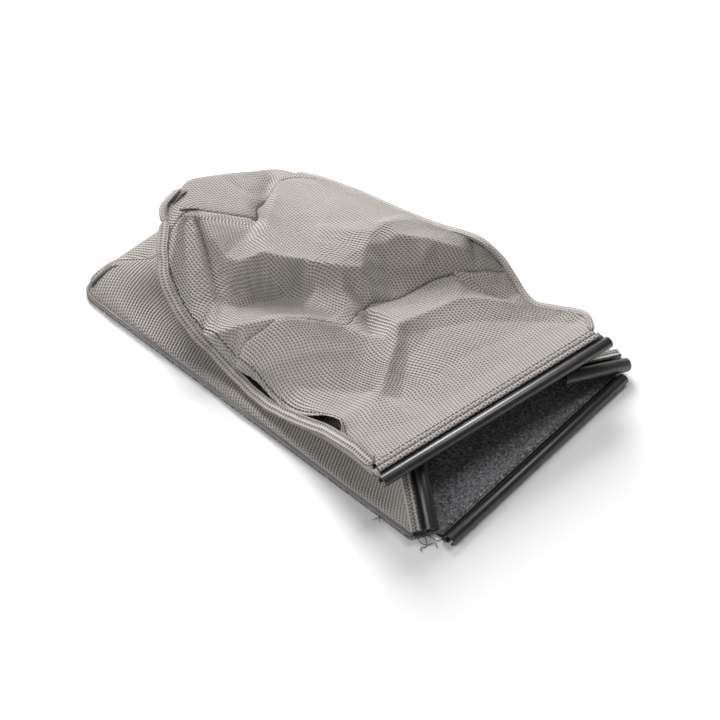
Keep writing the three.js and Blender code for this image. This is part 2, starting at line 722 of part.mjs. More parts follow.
const rightFootLine = floorStretch(1, rightCornerShare, wallSteps);
const rightHeadLine = lowered(rightSeam);
const rightMouth = mouthEdge(rightClip, rightMouthShares, rightFootLine[0], rightHeadLine[0]);
const rightRear = sampled(shifted(rightCorner, wallFromRightCorner), wallRiseSteps);
rightFootLine[wallSteps] = rightRear[0];
rightHeadLine[wallSteps] = rightRear[wallRiseSteps];
const rightwards = new THREE.Vector3(1, 0, 0);
const rightWall = bulged(patch(rightFootLine, rightHeadLine, rightMouth, rightRear), rightwards, (u, s) => (
  Math.sin(Math.PI * u) * (wallBulge * Math.sin(Math.PI * s) - wallCrease * Math.sin(Math.PI * s) ** 8)
));
add('right_side_panel', sheet(rightWall, () => meshThickness), mesh);

// Binding: the folded edge that joins the walls to the felt bottom

const bindingLine = Array.from({ length: seamSteps + 1 }, (_, i) => (
  floorPlace(i / seamSteps, bindingWidth / 2, feltThickness + clearance + bindingHeight / 2)
));
add('bottom_binding', swept(stations(bindingLine, up), stripSection(bindingWidth, bindingHeight)), tape);

// Felt bottom: flat on the floor, with its front strip lying on the bottom clip's flange

const feltFront = clipDiameter / 2 + flangeWidth - flangeOverlap;
const feltStep = clipDiameter / 2 + flangeWidth + clearance;
const feltRun = 6;             // length of the slope between the flange and the floor
const feltLift = bottomFlangeHeight + flangeThickness / 2 + clearance;
const feltSide = sideClipDiameter / 2;

function feltRow(y, left, right, lift) {
  return [new THREE.Vector3(left, y, lift), new THREE.Vector3(right, y, lift)];
}

const feltLeft = -halfWidth + feltSide / 2;
const feltRight = halfWidth - bottomClipShort - clearance;
const cornerShares = Array.from({ length: cornerSteps + 1 }, (_, k) => k / cornerSteps);
const feltRows = [
  feltRow(feltFront, feltLeft, feltRight, feltLift),
  feltRow(feltStep, -halfWidth, feltRight + feltSide, feltLift),
  feltRow(feltStep + feltRun, -halfWidth - feltSide, halfWidth, 0),
  [floorPlace(0, 0, 0), floorPlace(1, 0, 0)],
  ...cornerShares.map((share) => [
    floorPlace((floorLengths[0] + share * (floorLengths[1] - floorLengths[0])) / floorLength, 0, 0),
    floorPlace((floorLengths[3] - share * (floorLengths[3] - floorLengths[2])) / floorLength, 0, 0),
  ]),
];

function upright(grid, height) {
  const flat = sheet(grid, () => 0);
  const positions = flat.getAttribute('position');
  for (let k = 0; k < positions.count / 2; k += 1) {
    positions.setZ(k, positions.getZ(k) + height);
  }
  return flat;
}

add('bottom_panel', upright(feltRows, feltThickness), felt);

addClip('top_clip', topClip, topClipSlot);
addClip('bottom_clip', bottomClip, bottomClipSlot);
addClip('left_clip', leftClip, sideClipSlot);
addClip('right_clip', rightClip, sideClipSlot);

export default bag;
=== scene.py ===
"""Dresses the collapsed mower grass bag: mesh cloth, seams, stitching, felt bottom and plastic clips."""
import math

import bmesh
import bpy
import numpy as np
from mathutils import Matrix, Vector, noise
from mathutils.bvhtree import BVHTree
from mathutils.geometry import delaunay_2d_cdt


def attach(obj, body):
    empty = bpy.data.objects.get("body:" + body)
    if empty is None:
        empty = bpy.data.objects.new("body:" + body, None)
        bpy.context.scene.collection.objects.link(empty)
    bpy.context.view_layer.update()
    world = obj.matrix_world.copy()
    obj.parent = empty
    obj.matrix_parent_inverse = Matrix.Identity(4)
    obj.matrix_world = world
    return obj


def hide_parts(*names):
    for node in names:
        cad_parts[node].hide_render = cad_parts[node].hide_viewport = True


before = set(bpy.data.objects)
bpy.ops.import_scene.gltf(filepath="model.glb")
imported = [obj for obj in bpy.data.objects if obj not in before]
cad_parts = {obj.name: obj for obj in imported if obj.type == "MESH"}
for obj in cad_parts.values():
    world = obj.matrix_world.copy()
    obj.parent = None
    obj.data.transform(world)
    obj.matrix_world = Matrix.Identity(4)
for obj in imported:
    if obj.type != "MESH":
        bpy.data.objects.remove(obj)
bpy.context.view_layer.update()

# Camera at the photograph's viewing angle
camera_turn = math.radians(-47.52)
camera_height = math.radians(48.0)
camera_distance = 2.0
camera_target = Vector((-0.033858, -0.042271, 0.0))
camera_lens = 82.13

# Sizes of the bag, in metres
bag_width = 0.340
bag_length = 0.600
bag_height = 0.100
rear_set_in = 0.040
rear_short = 0.050
front_flare = 0.025
front_flare_right = 0.008
rear_flare = 0.021
bottom_set_back = 0.0057
corner_radius = 0.034
mesh_thickness = 0.0014
hem_thickness = 0.0026
hem_width = 0.013
felt_thickness = 0.003
clearance = 0.0003
ridge_height = 0.004
ridge_reach = 0.003         # the panels' edges are sewn inside the ridge
binding_width = 0.009
binding_height = 0.0035
binding_swell = 0.0052
piping_diameter = 0.0034
seam_allowance = 0.0009
hem_inset_left = 0.006
hem_inset_right = 0.004
hem_gap = 2.8 * seam_allowance
piping_gap = 3 * seam_allowance
hem_swell = 0.0015
hem_rows = 12
mouth_fold_in = 0.005
mouth_fold_down = 0.024
rear_sag = 0.005
wall_tuck = 0.014           # how far the left wall is drawn in at its middle
wall_fold = 0.0155          # how far it folds in under the seam
foot_swell = 0.0040         # how far it bulges out above the binding
right_bulge = 0.009
right_sag = 0.006
stitch_rise = 0.0002
felt_on_flange = 0.0193     # the felt lies on the flange up to here, from the mouth
felt_on_floor = 0.0253      # and on the floor from here

# Plastic clips
clip_diameter = 0.014
side_clip_diameter = 0.017
clip_wall = 0.0016
top_slot = 0.007
bottom_slot = 0.0055
side_slot = 0.009
flange_width = 0.012
flange_thickness = 0.0016
flange_overlap = 0.008
bottom_flange_height = 0.0019
bottom_clip_short = 0.017
top_clip_skew = math.radians(-9.8)

half_width = bag_width / 2
mouth = -bag_length / 2


def at(x, y, z):
    """A point given in millimetres from the middle of the mouth, as metres in the row frame."""
    return np.array([x / 1000, y / 1000 - bag_length / 2, z / 1000])


def place(across, along, rise=0.0):
    """A point from its shares, in percent, of half the width, the length and the height."""
    return np.array([across * half_width / 100, along * bag_length / 100 - bag_length / 2, rise * bag_height / 100])


# Fold lines of the cloth: across, along and up, in percent
left_seam_folds = [
    (-104, 23.5, 62), (-100, 31, 46), (-101, 38.5, 32), (-102, 47.5, 22), (-98, 56, 23), (-97, 63, 36),
    (-98, 68.5, 52), (-94, 74, 66), (-85, 79.5, 80), (-71, 84, 90), (-52, 89, 98),
]
right_seam_folds = [
    (97, 12.5, 57), (92, 17.5, 52), (84, 22, 52), (84, 24.5, 55), (89, 29, 64), (92, 33, 75), (90, 38, 89),
    (88, 42.5, 87), (86, 48, 79), (84, 58.5, 68), (84, 70, 56), (83, 75.5, 50), (80, 81, 46), (75, 86, 42),
]
rear_edge_folds = [
    (-52, 89, 98), (-39, 91, 100), (-23, 93, 98), (-9, 94.5, 94), (17, 93, 80), (41, 91, 65), (64, 89, 50),
    (75, 86, 42),
]
folds = {
    "crest": [(-44, 72.5, 76), (-35, 69, 88), (-27, 67.5, 94), (-21, 63.5, 93), (-7, 58.5, 89), (6, 53.5, 84),
              (14, 51.5, 81)],
    "gutter": [(-67, 68.5, 50), (-58, 66, 45), (-44, 64.5, 45), (-30, 61, 46), (-23, 58.5, 47)],
    "lip": [(-17, 55.5, 68), (-10, 54, 69), (-7, 51.5, 67), (-9, 48.5, 63), (-17, 45, 58)],
    "lip_foot": [(6, 51, 72), (3, 50.5, 64), (-2, 48, 55)],
    "shelf": [(-97, 64.5, 50), (-76, 60.5, 61), (-62, 57.5, 64), (-45, 52.5, 66),
              (-34, 47.5, 66), (-26, 41.5, 63), (-17, 37, 62)],
    "shelf_foot": [(-93, 53.5, 40), (-82, 43, 38), (-62, 34.5, 40), (-54, 31, 46)],
    "left_apron": [(-91, 40, 36), (-91, 32.5, 44), (-95, 23.5, 58)],
    "star_arm": [(-4, 37, 67), (-18, 34, 64), (-36, 31.5, 60), (-57, 28.5, 55)],
    "star_foot": [(-4, 34.5, 58), (-22, 30, 53), (-47, 25.5, 50)],
    "cup": [(-1, 44.5, 57), (-1, 41, 61), (-4, 37, 67)],
    "dimple": [(-3, 46, 50), (-8, 44.5, 44), (-18, 40.5, 50)],
    "apron": [(-56, 18.5, 60), (-9, 17, 59), (37, 15.5, 59), (75, 12.5, 58)],
    "apron_valley": [(13, 32.5, 55), (39, 28.5, 51), (64, 21.5, 50), (87, 12.5, 53)],
    "apron_ridge": [(-4, 37, 67), (23, 35.5, 60), (50, 33.5, 57), (63, 29.5, 56), (76, 23, 54)],
    "right_pit": [(69, 34.5, 46), (72, 31.5, 44), (75, 28, 45)],
    "seam_groove": [(-1, 46.5, 51), (14, 45, 46), (27, 44, 44), (45, 43, 44), (62, 40.5, 50), (76, 37, 56),
                    (92, 31, 64)],
    "cleft_left": [(56, 55.5, 92), (44, 56, 91), (27, 54, 86), (16, 51.5, 79), (7, 47, 60)],
    "cleft": [(42, 52.5, 86), (34, 50, 68), (27, 46.5, 50)],
    "cleft_top": [(56, 55.5, 92), (52, 51.5, 91), (66, 46.5, 86)],
    "cleft_right": [(66, 46.5, 86), (56, 45, 76), (46, 43.5, 47)],
    "middle_ridge": [(66, 46.5, 86), (73, 42, 83), (79, 39.5, 80)],
    "notch": [(86, 39, 78), (81, 37, 66)],
    "plateau_ridge": [(76, 80, 50), (33, 70, 76), (-11, 62, 89)],
    "plateau_fold": [(66, 68.5, 66), (60, 63, 74), (52, 57, 84)],
    "tuck": [(45, 86, 58), (21, 81.5, 66), (-9, 76, 80)],
    "tuck_left": [(20, 86.5, 74), (2, 80, 80)],
    "tuck_right": [(52, 85, 62), (27, 79.5, 78), (-7, 73, 89)],
    "pleat_one": [(-42, 87.5, 99), (-75, 80.5, 86), (-90, 75.5, 68)],
    "pleat_valley": [(-43, 86, 93), (-65, 79.5, 77), (-85, 72, 57)],
    "pleat_two": [(-37, 85.5, 99), (-48, 81, 88), (-60, 75.5, 74), (-71, 70, 55)],
    "pleat_foot": [(-36, 84, 88), (-45, 79.5, 72), (-56, 75, 60), (-66, 69.5, 50)],
    "drop_edge": [(-33, 84, 97), (-40, 79, 90), (-44, 72.5, 76)],
    "facet_side": [(-44, 72.5, 76), (-52, 70.5, 62), (-64, 69, 48)],
}
# How far, in millimetres, the cloth is pinched up or down along a fold
pinched = {
    "crest": 2.5, "lip": 2.5, "shelf": 1.0, "left_apron": 0.6, "star_arm": 2.6, "cup": 0.8, "apron_ridge": 1.8,
    "cleft_left": 2.0, "cleft_top": 1.2, "cleft_right": 2.2, "middle_ridge": 1.5, "plateau_ridge": 1.0,
    "plateau_fold": 1.0, "tuck_left": 1.0, "tuck_right": 1.8, "pleat_one": 1.8, "pleat_two": 2.5, "drop_edge": 1.5,
    "gutter": -2.0, "lip_foot": -1.5, "shelf_foot": -0.8, "star_foot": -0.8, "dimple": -2.0, "apron_valley": -0.8,
    "right_pit": -1.2, "seam_groove": -1.0, "cleft": -1.5, "notch": -1.5, "tuck": -2.5, "pleat_valley": -2.5,
    "pleat_foot": -1.5, "facet_side": 0.8,
}
# Small sharp creases, in plan: the line in percent, the depth in millimetres and the reach in metres
small_creases = [
    ([(17.9, 90.1), (16.9, 88.3), (17.7, 86.5), (20.8, 85.1), (29.6, 85.2), (35.2, 85.6)], -3.8, 0.0038),
    ([(46, 87), (40, 85.9), (27.3, 83.3), (11.6, 80.3), (-3, 77.4)], -7.0, 0.0060),
    ([(-31.6, 44.3), (-25.9, 44), (-16.6, 44.1)], -2.0, 0.0030),
    ([(87.7, 30.5), (82, 28.9), (69.2, 26.2)], 1.5, 0.0040),
    ([(58.6, 71.8), (27.6, 65.9), (3.2, 60.9)], 1.2, 0.0060),
    ([(-83.6, 50.7), (-58.9, 45.9), (-40, 40.3)], 1.2, 0.0080),
    ([(37.6, 20.3), (14.4, 22.6), (-13.1, 23.5)], -1.2, 0.0080),
]
front_cross_seam = [
    (-97, 57), (-83, 57.5), (-68, 56.5), (-54, 55.5), (-41, 50.5), (-27, 45), (-4, 46.5), (8, 46),
    (27, 44), (44, 43), (61, 40.7), (74, 37.5), (84, 34), (92, 31),
]
rear_cross_seam = [
    (-66, 85.5), (-38, 87), (-28, 85.5), (-20, 83.5), (-7, 80), (3, 78.5), (16, 81.5), (32, 83), (64, 84), (80, 81),
]
left_corner_seam = [(-99, 97.8, 18), (-83, 97, 27), (-74, 93.8, 32), (-64, 89.8, 38), (-56, 88.8, 60)]
right_corner_seam = [(78, 90, 18), (76, 88, 30)]

# How finely the cloth is made
cloth_step = 0.0026
hold_step = 0.011
hold_gap = 0.004            # fold lines that come closer than this meet
crispness = 0.95            # 1 is flat facets between the folds, 0 a smooth surface
pinch_reach = 0.006
seam_points = 240
wall_rows = 44
side_rows = 40
felt_columns = 120
points_at_once = 4000


# Curves

def even(points, count):
    """Points spaced evenly along a line of straight pieces."""
    points = np.asarray(points, float)
    run = np.r_[0, np.cumsum(np.linalg.norm(np.diff(points, axis=0), axis=1))]
    stops = np.linspace(0, run[-1], count)
    return np.stack([np.interp(stops, run, points[:, k]) for k in range(3)], axis=1)


def curve(points, count):
    """Points spaced evenly along a smooth curve through the given ones."""
    p = np.asarray(points, float)
    ends = np.vstack([2 * p[0] - p[1], p, 2 * p[-1] - p[-2]])
    pieces = []
    for a, b, c, d in zip(ends, ends[1:], ends[2:], ends[3:]):
        t1 = np.linalg.norm(b - a) ** 0.5
        t2 = t1 + np.linalg.norm(c - b) ** 0.5
        t3 = t2 + np.linalg.norm(d - c) ** 0.5
        t = np.linspace(t1, t2, 17)[:-1, None]
        ab = a + (b - a) * t / t1
        bc = b + (c - b) * (t - t1) / (t2 - t1)
        cd = c + (d - c) * (t - t2) / (t3 - t2)
        abc = ab + (bc - ab) * t / t2
        bcd = bc + (cd - bc) * (t - t1) / (t3 - t1)
        pieces.append(abc + (bcd - abc) * (t - t1) / (t2 - t1))
    return even(np.vstack(pieces + [p[-1:]]), count)


def length_of(points):
    return float(np.linalg.norm(np.diff(points, axis=0), axis=1).sum())


def unit(v):
    return v / max(np.linalg.norm(v), 1e-12)


def units(vectors):
    return vectors / np.maximum(np.linalg.norm(vectors, axis=-1, keepdims=True), 1e-12)


def runs_of(points):
    """The direction of a line of points at each of them."""
    return units(np.gradient(points, axis=0))


def beside(run):
    """The level directions at a right angle to a line's directions."""
    return np.stack([run[:, 1], -run[:, 0], np.zeros(len(run))], axis=1)


def set_in(points, distance):
    """A line moved sideways in plan."""
    return points + beside(runs_of(points * [1, 1, 0])) * distance


def patch(near, far, left, right):
    """A grid of points that fills four edges: near and far run across, left and right from near to far."""
    u = np.linspace(0, 1, len(near))[None, :, None]
    s = np.linspace(0, 1, len(left))[:, None, None]
    rails = left[:, None] * (1 - u) + right[:, None] * u
    ends = near[None] * (1 - s) + far[None] * s
    corners = (near[0] * (1 - u) + near[-1] * u) * (1 - s) + (far[0] * (1 - u) + far[-1] * u) * s
    return rails + ends - corners


# Clip frames: where each clip starts and runs, and which way its flange points

def clip_frame(start, end, flange_side, diameter, drop=0.0):
    along = unit(end - start)
    side = unit(flange_side - along * (flange_side @ along))
    return {"start": start, "along": along, "side": side, "lift": np.cross(along, side),
            "length": float(np.linalg.norm(end - start)), "diameter": diameter, "drop": drop}


top_run = np.array([math.cos(top_clip_skew), math.sin(top_clip_skew), 0]) * half_width
top_centre = at(-25, 51, 64)
top_clip = clip_frame(top_centre - top_run, top_centre + top_run, np.array([0, 1, 0.0]), clip_diameter)
bottom_clip = clip_frame(
    at(-170, 0, 7), at(170, 0, 7) - [bottom_clip_short, 0, 0], np.array([0, 1, 0.0]), clip_diameter,
    clip_diameter / 2 - bottom_flange_height,
)
left_foot = at(-176, 20, 14)
left_clip = clip_frame(left_foot, left_foot + [0.062, 0.082, 0.038], np.array([-0.75, 0.62, 0]), side_clip_diameter)
right_foot = at(170, 9, 11)
right_clip = clip_frame(right_foot + [-0.096, 0.027, 0.034], right_foot, np.array([0.25, 0.95, 0.15]),
                        side_clip_diameter)


def on_flange(clip, share, reach, height):
    """A place on the cloth that lies on a clip's flange."""
    rise = flange_thickness / 2 - clip["drop"] + clearance + height
    return (clip["start"] + clip["along"] * share * clip["length"]
            + clip["side"] * (clip["diameter"] / 2 + flange_width - flange_overlap + reach) + clip["lift"] * rise)


def hem_place(across, reach):
    left, right = hem_inset_left / top_clip["length"], 1 - hem_inset_right / top_clip["length"]
    return on_flange(top_clip, left + (right - left) * across, reach, hem_thickness / 2)


# Outline of the bottom on the floor, from the left front round the rear to the right front

def rounded(before, corner, after, steps=14):
    start = corner + unit(before - corner) * corner_radius
    end = corner + unit(after - corner) * corner_radius
    t = np.linspace(0, 1, steps)[:, None]
    return start * (1 - t) ** 2 + 2 * corner * t * (1 - t) + end * t ** 2


front_edge = 20 + (binding_width + bottom_set_back) * 1000
rear_left, rear_right = at(-170, 600, 0) - [rear_flare, 0, 0], at(170, 600, 0) - [rear_set_in, rear_short, 0]
left_front = at(-170, front_edge, 0) - [front_flare, 0, 0]
right_front = at(170, front_edge, 0) + [front_flare_right, 0, 0]
corner_one = rounded(left_front, rear_left, rear_right)
corner_two = rounded(rear_left, rear_right, right_front)
floor_outline = np.vstack([left_front[None], corner_one, corner_two, right_front[None]])
floor_run = np.r_[0, np.cumsum(np.linalg.norm(np.diff(floor_outline, axis=0), axis=1))]
left_corner_share = (floor_run[1] + floor_run[len(corner_one)]) / 2 / floor_run[-1]
right_corner_share = (floor_run[1 + len(corner_one)] + floor_run[-2]) / 2 / floor_run[-1]


def on_outline(stops):
    return np.stack([np.interp(stops, floor_run, floor_outline[:, k]) for k in range(3)], axis=1)


def floor_line(start, end, count, inset, height, probe=0.002):
    """Part of the outline between two shares of its length, set in from it at a height."""
    stops = np.linspace(start, end, count) * floor_run[-1]
    run = units(on_outline(stops + probe) - on_outline(stops - probe))
    points = on_outline(stops) + beside(run) * inset
    points[:, 2] = height
    return points


binding_top = felt_thickness + clearance + binding_height
wall_foot = binding_top + seam_allowance


# Height of the cloth in plan: it passes through every fold line

def spaced(points):
    return even(points, max(2, round(length_of(points) / hold_step) + 1))


left_seam_curve = [hem_place(0, hem_width)] + [place(*p) for p in left_seam_folds]
right_seam_curve = [hem_place(1, hem_width)] + [place(*p) for p in right_seam_folds]
left_seam = curve(left_seam_curve, seam_points + 1)
right_seam = curve(right_seam_curve, seam_points + 1)

hold_lines = [[hem_place(t, reach) for t in np.linspace(0, 1, 8)] for reach in (0, hem_width)]
hold_lines += [left_seam_curve, right_seam_curve, [place(*p) for p in rear_edge_folds]]
hold_lines += [[place(*p) for p in line] for line in folds.values()]
holds, creases = [], []
for line in hold_lines:
    before = None
    for point in spaced(line):
        near = [k for k, q in enumerate(holds) if math.hypot(point[0] - q[0], point[1] - q[1]) < hold_gap]
        if not near:
            holds.append(point)
        here = near[0] if near else len(holds) - 1
        if before is not None and before != here:
            creases.append((before, here))
        before = here
holds = np.array(holds)
hold_count = len(holds)
cones = np.zeros((hold_count + 3, hold_count + 3))
cones[:hold_count, :hold_count] = np.linalg.norm(holds[:, None, :2] - holds[None, :, :2], axis=2)
cones[:hold_count, hold_count:] = np.c_[np.ones(hold_count), holds[:, :2]]
cones[hold_count:, :hold_count] = cones[:hold_count, hold_count:].T
weights = np.linalg.solve(cones, np.r_[holds[:, 2], 0, 0, 0])


def soft_height(flat):
    out = np.empty(len(flat))
    for k in range(0, len(flat), points_at_once):
        part = flat[k:k + points_at_once]
        out[k:k + len(part)] = (np.linalg.norm(part[:, None] - holds[None, :, :2], axis=2) @ weights[:hold_count]
                                + weights[hold_count] + part @ weights[hold_count + 1:])
    return out


facet_points, _, facets = delaunay_2d_cdt([Vector(p[:2]) for p in holds], creases, [], 0, 1e-5)[:3]
facet_heights = soft_height(np.array([p[:] for p in facet_points]))
facet_tree = BVHTree.FromPolygons([(p[0], p[1], z) for p, z in zip(facet_points, facet_heights)], facets)


def pinch(flat, line, amount, reach):
    """The cloth rises, or sinks, to a sharp edge along a fold, less towards the fold's ends."""
    line = even(line, max(8, int(length_of(line) / 0.002)))[:, :2]
    share = np.sin(np.linspace(0.12, 0.88, len(line)) * np.pi) ** 0.5
    out = np.zeros(len(flat))
    for k in range(0, len(flat), points_at_once):
        gap = np.linalg.norm(flat[k:k + points_at_once, None] - line[None], axis=2)
        best = gap.argmin(axis=1)
        out[k:k + len(best)] = amount * share[best] * np.exp(-gap.min(axis=1) / reach)
    return out


def cloth_height(points):
    """The cloth's height over places in plan: flat facets between the fold lines, eased by a smooth surface."""
    flat = points[..., :2].reshape(-1, 2)
    out = soft_height(flat)
    for k, (x, y) in enumerate(flat):
        hit = facet_tree.ray_cast(Vector((x, y, 1)), Vector((0, 0, -1)))[0]
        if hit is not None:
            out[k] += (hit.z - out[k]) * crispness
    for name, amount in pinched.items():
        out += pinch(flat, np.array([place(*p) for p in folds[name]]), amount / 1000, pinch_reach)
    for line, amount, reach in small_creases:
        out += pinch(flat, np.array([place(*p) for p in line]), amount / 1000, reach)
    return out.reshape(points.shape[:-1])


def softened(grid, passes, fixed=0):
    """Softens the creases of a grid; its edges stay."""
    grid = grid.copy()
    for _ in range(passes):
        around = (grid[:-2, 1:-1] + grid[2:, 1:-1] + grid[1:-1, :-2] + grid[1:-1, 2:]) / 4
        inner = (grid[1:-1, 1:-1] * 2 + around) / 3
        grid[1 + fixed:-1, 1:-1] = inner[fixed:]
    return grid


def normals_of(grid):
    return units(np.cross(np.gradient(grid, axis=1), np.gradient(grid, axis=0)))


# Materials

class Paint:
    """A new material with its nodes and its main shader."""

    def __init__(self, name, roughness, **sockets):
        self.material = bpy.data.materials.new(name)
        self.material.use_nodes = True
        self.nodes, self.links = self.material.node_tree.nodes, self.material.node_tree.links
        self.main = self.nodes["Principled BSDF"]
        self.main.inputs["Roughness"].default_value = roughness
        for socket, value in sockets.items():
            self.main.inputs[socket.replace("_", " ")].default_value = value

    def into(self, socket, output):
        self.links.new(output, self.main.inputs[socket])

    def cut_place(self):
        node = self.nodes.new("ShaderNodeUVMap")
        node.uv_map = "cut"
        return node.outputs["UV"]

    def object_place(self):
        return self.nodes.new("ShaderNodeTexCoord").outputs["Object"]

    def sum_of(self, kind, *values):
        """A Math node; an input is a number or another node's output."""
        node = self.nodes.new("ShaderNodeMath")
        node.operation = kind
        for k, value in enumerate(values):
            if isinstance(value, (int, float)):
                node.inputs[k].default_value = value
            else:
                self.links.new(value, node.inputs[k])
        return node.outputs[0]

    def wave_of(self, value):
        """Humps from 0 to 1, one for each whole number."""
        return self.sum_of("ABSOLUTE", self.sum_of("SINE", self.sum_of("MULTIPLY", value, math.pi)))

    def ramp(self, value, stops):
        node = self.nodes.new("ShaderNodeValToRGB")
        while len(node.color_ramp.elements) < len(stops):
            node.color_ramp.elements.new(0.5)
        for element, (position, colour) in zip(node.color_ramp.elements, stops):
            element.position = position
            element.color = (*colour, 1)
        self.links.new(value, node.inputs["Fac"])
        return node.outputs["Color"]

    def speckle(self, vector, scale, detail=2.0, roughness=0.5):
        node = self.nodes.new("ShaderNodeTexNoise")
        for socket, value in (("Scale", scale), ("Detail", detail), ("Roughness", roughness)):
            node.inputs[socket].default_value = value
        self.links.new(vector, node.inputs["Vector"])
        return node.outputs["Fac"]

    def bump(self, height, distance, strength=1.0):
        node = self.nodes.new("ShaderNodeBump")
        node.inputs["Distance"].default_value = distance
        node.inputs["Strength"].default_value = strength
        self.links.new(height, node.inputs["Height"])
        self.into("Normal", node.outputs["Normal"])


def shade(colour, share):
    return tuple(c * share for c in colour)


def mesh_cloth(name, light, dark, hollow_across=0.0043, hollow_along=0.0040, depth=0.0008):
    """Coarse mesh cloth: ribs along the piece with rows of staggered hollows between them; the hollows are coloured
    dark, partly the gaps between the yarns and partly painted shade of what lies behind them.
    """
    paint = Paint(name, 0.82, Sheen_Weight=0.25, Sheen_Roughness=0.6, Specular_IOR_Level=0.3)
    sum_of = paint.sum_of
    uv = paint.cut_place()
    wander = paint.speckle(uv, 60, 1.0)
    parts = paint.nodes.new("ShaderNodeSeparateXYZ")
    paint.links.new(uv, parts.inputs[0])
    drift = sum_of("MULTIPLY_ADD", wander, 0.0010, -0.0005)
    across = sum_of("DIVIDE", sum_of("ADD", parts.outputs["X"], drift), hollow_across)
    along = sum_of("DIVIDE", sum_of("ADD", parts.outputs["Y"], drift), hollow_along)
    stagger = sum_of("MULTIPLY", sum_of("MODULO", sum_of("FLOOR", across), 2.0), 0.5)
    rib = sum_of("POWER", paint.wave_of(across), 1.4)
    bead = sum_of("POWER", paint.wave_of(sum_of("ADD", along, stagger)), 1.3)
    hollow = sum_of("MULTIPLY", rib, sum_of("MULTIPLY_ADD", bead, 0.62, 0.38))
    fibre = paint.speckle(uv, 1800)
    patchy = paint.speckle(uv, 22, 3.0)
    # Painted shade: the holes of the weave are not cut, so the hollows are coloured dark, as the shaded inside seen
    # through them would be
    tone_with_hollow_shade = paint.ramp(sum_of("MULTIPLY_ADD", fibre, 0.25, sum_of("MULTIPLY", hollow, 0.9)), [
        (0.10, light), (0.45, shade(light, 0.84)), (0.72, shade(light, 0.56)), (1.0, dark)])
    worn = paint.nodes.new("ShaderNodeMix")
    worn.data_type = "RGBA"
    worn.blend_type = "MULTIPLY"
    worn.inputs["Factor"].default_value = 1.0
    paint.links.new(tone_with_hollow_shade, worn.inputs["A"])
    paint.links.new(paint.ramp(patchy, [(0.3, (0.93, 0.93, 0.92)), (0.7, (1.0, 1.0, 1.0))]), worn.inputs["B"])
    paint.into("Base Color", worn.outputs["Result"])
    up = sum_of("SUBTRACT", sum_of("MULTIPLY", fibre, 0.12), hollow)
    paint.bump(sum_of("MULTIPLY_ADD", rib, -0.55, up), depth)
    paint.into("Roughness", sum_of("MULTIPLY_ADD", hollow, 0.1, 0.78))
    return paint.material


def felt_cloth():
    paint = Paint("black needled felt", 0.95, Sheen_Weight=0.35, Sheen_Roughness=0.5, Specular_IOR_Level=0.25)
    where = paint.object_place()
    fine = paint.speckle(where, 1100, 3.0, 0.85)
    coarse = paint.speckle(where, 260)
    cells = paint.nodes.new("ShaderNodeTexVoronoi")
    cells.inputs["Scale"].default_value = 800
    paint.links.new(where, cells.inputs["Vector"])
    mixed = paint.sum_of("MULTIPLY_ADD", fine, 0.85, paint.sum_of("MULTIPLY", coarse, 0.15))
    paint.into("Base Color", paint.ramp(mixed, [
        (0.41, (0.006, 0.006, 0.008)), (0.485, (0.055, 0.053, 0.059)), (0.54, (0.30, 0.29, 0.315)),
        (0.60, (0.90, 0.89, 0.93))]))
    tufts = paint.sum_of("MULTIPLY", cells.outputs["Distance"], 0.6)
    paint.bump(paint.sum_of("SUBTRACT", fine, tufts), 0.0009)
    return paint.material


def clip_plastic():
    paint = Paint("extruded black plastic", 0.22, Base_Color=(0.012, 0.011, 0.013, 1), Specular_IOR_Level=0.85)
    stretch = paint.nodes.new("ShaderNodeMapping")
    stretch.inputs["Scale"].default_value = (900, 14, 1)
    paint.links.new(paint.cut_place(), stretch.inputs["Vector"])
    lines = paint.speckle(stretch.outputs["Vector"], 1.0, 3.0)
    scuffs = paint.speckle(paint.object_place(), 130, 4.0, 0.65)
    scuffed = paint.sum_of("MULTIPLY_ADD", scuffs, 0.10, 0.29)
    paint.into("Roughness", paint.sum_of("MULTIPLY_ADD", lines, 0.08, scuffed))
    paint.into("Base Color", paint.ramp(scuffs, [(0.35, (0.010, 0.009, 0.011)), (0.72, (0.026, 0.024, 0.027))]))
    paint.bump(lines, 0.00004, 0.5)
    return paint.material


def thread(name, colour):
    paint = Paint(name, 0.7, Sheen_Weight=0.2)
    twist = paint.nodes.new("ShaderNodeTexWave")
    twist.inputs["Scale"].default_value = 900
    paint.links.new(paint.object_place(), twist.inputs["Vector"])
    paint.into("Base Color", paint.ramp(twist.outputs["Fac"], [(0.2, shade(colour, 0.6)), (0.8, colour)]))
    paint.bump(twist.outputs["Fac"], 0.0001)
    return paint.material


grey_mesh = mesh_cloth("light grey mesh", (0.545, 0.500, 0.466), (0.15, 0.136, 0.122), depth=0.0012)
grey_tape = mesh_cloth("folded mesh seam", (0.51, 0.468, 0.436), (0.17, 0.154, 0.140), 0.0031, 0.0034)
seam_cloth = mesh_cloth("sewn over mesh", (0.52, 0.477, 0.445), (0.12, 0.110, 0.098), 0.0038, 0.0038, 0.0012)
# A dark copy of the mesh cloth: painted shade, laid where the cloth lies only in shade
painted_shade_mesh = mesh_cloth("dark mesh painted as shade", (0.20, 0.184, 0.170), (0.05, 0.046, 0.042), 0.0042, 0.0038)
binding_tape = mesh_cloth("binding tape", (0.34, 0.315, 0.293), (0.07, 0.064, 0.058), 0.0030, 0.0032)
black_felt = felt_cloth()
black_plastic = clip_plastic()
dark_thread = thread("dark seam thread", (0.045, 0.043, 0.045))
rust_thread = thread("red brown thread", (0.13, 0.050, 0.044))


# Pieces

def in_scene(name, data):
    """A new object, linked into the scene."""
    made = bpy.data.objects.new(name, data)
    bpy.context.scene.collection.objects.link(made)
    return made


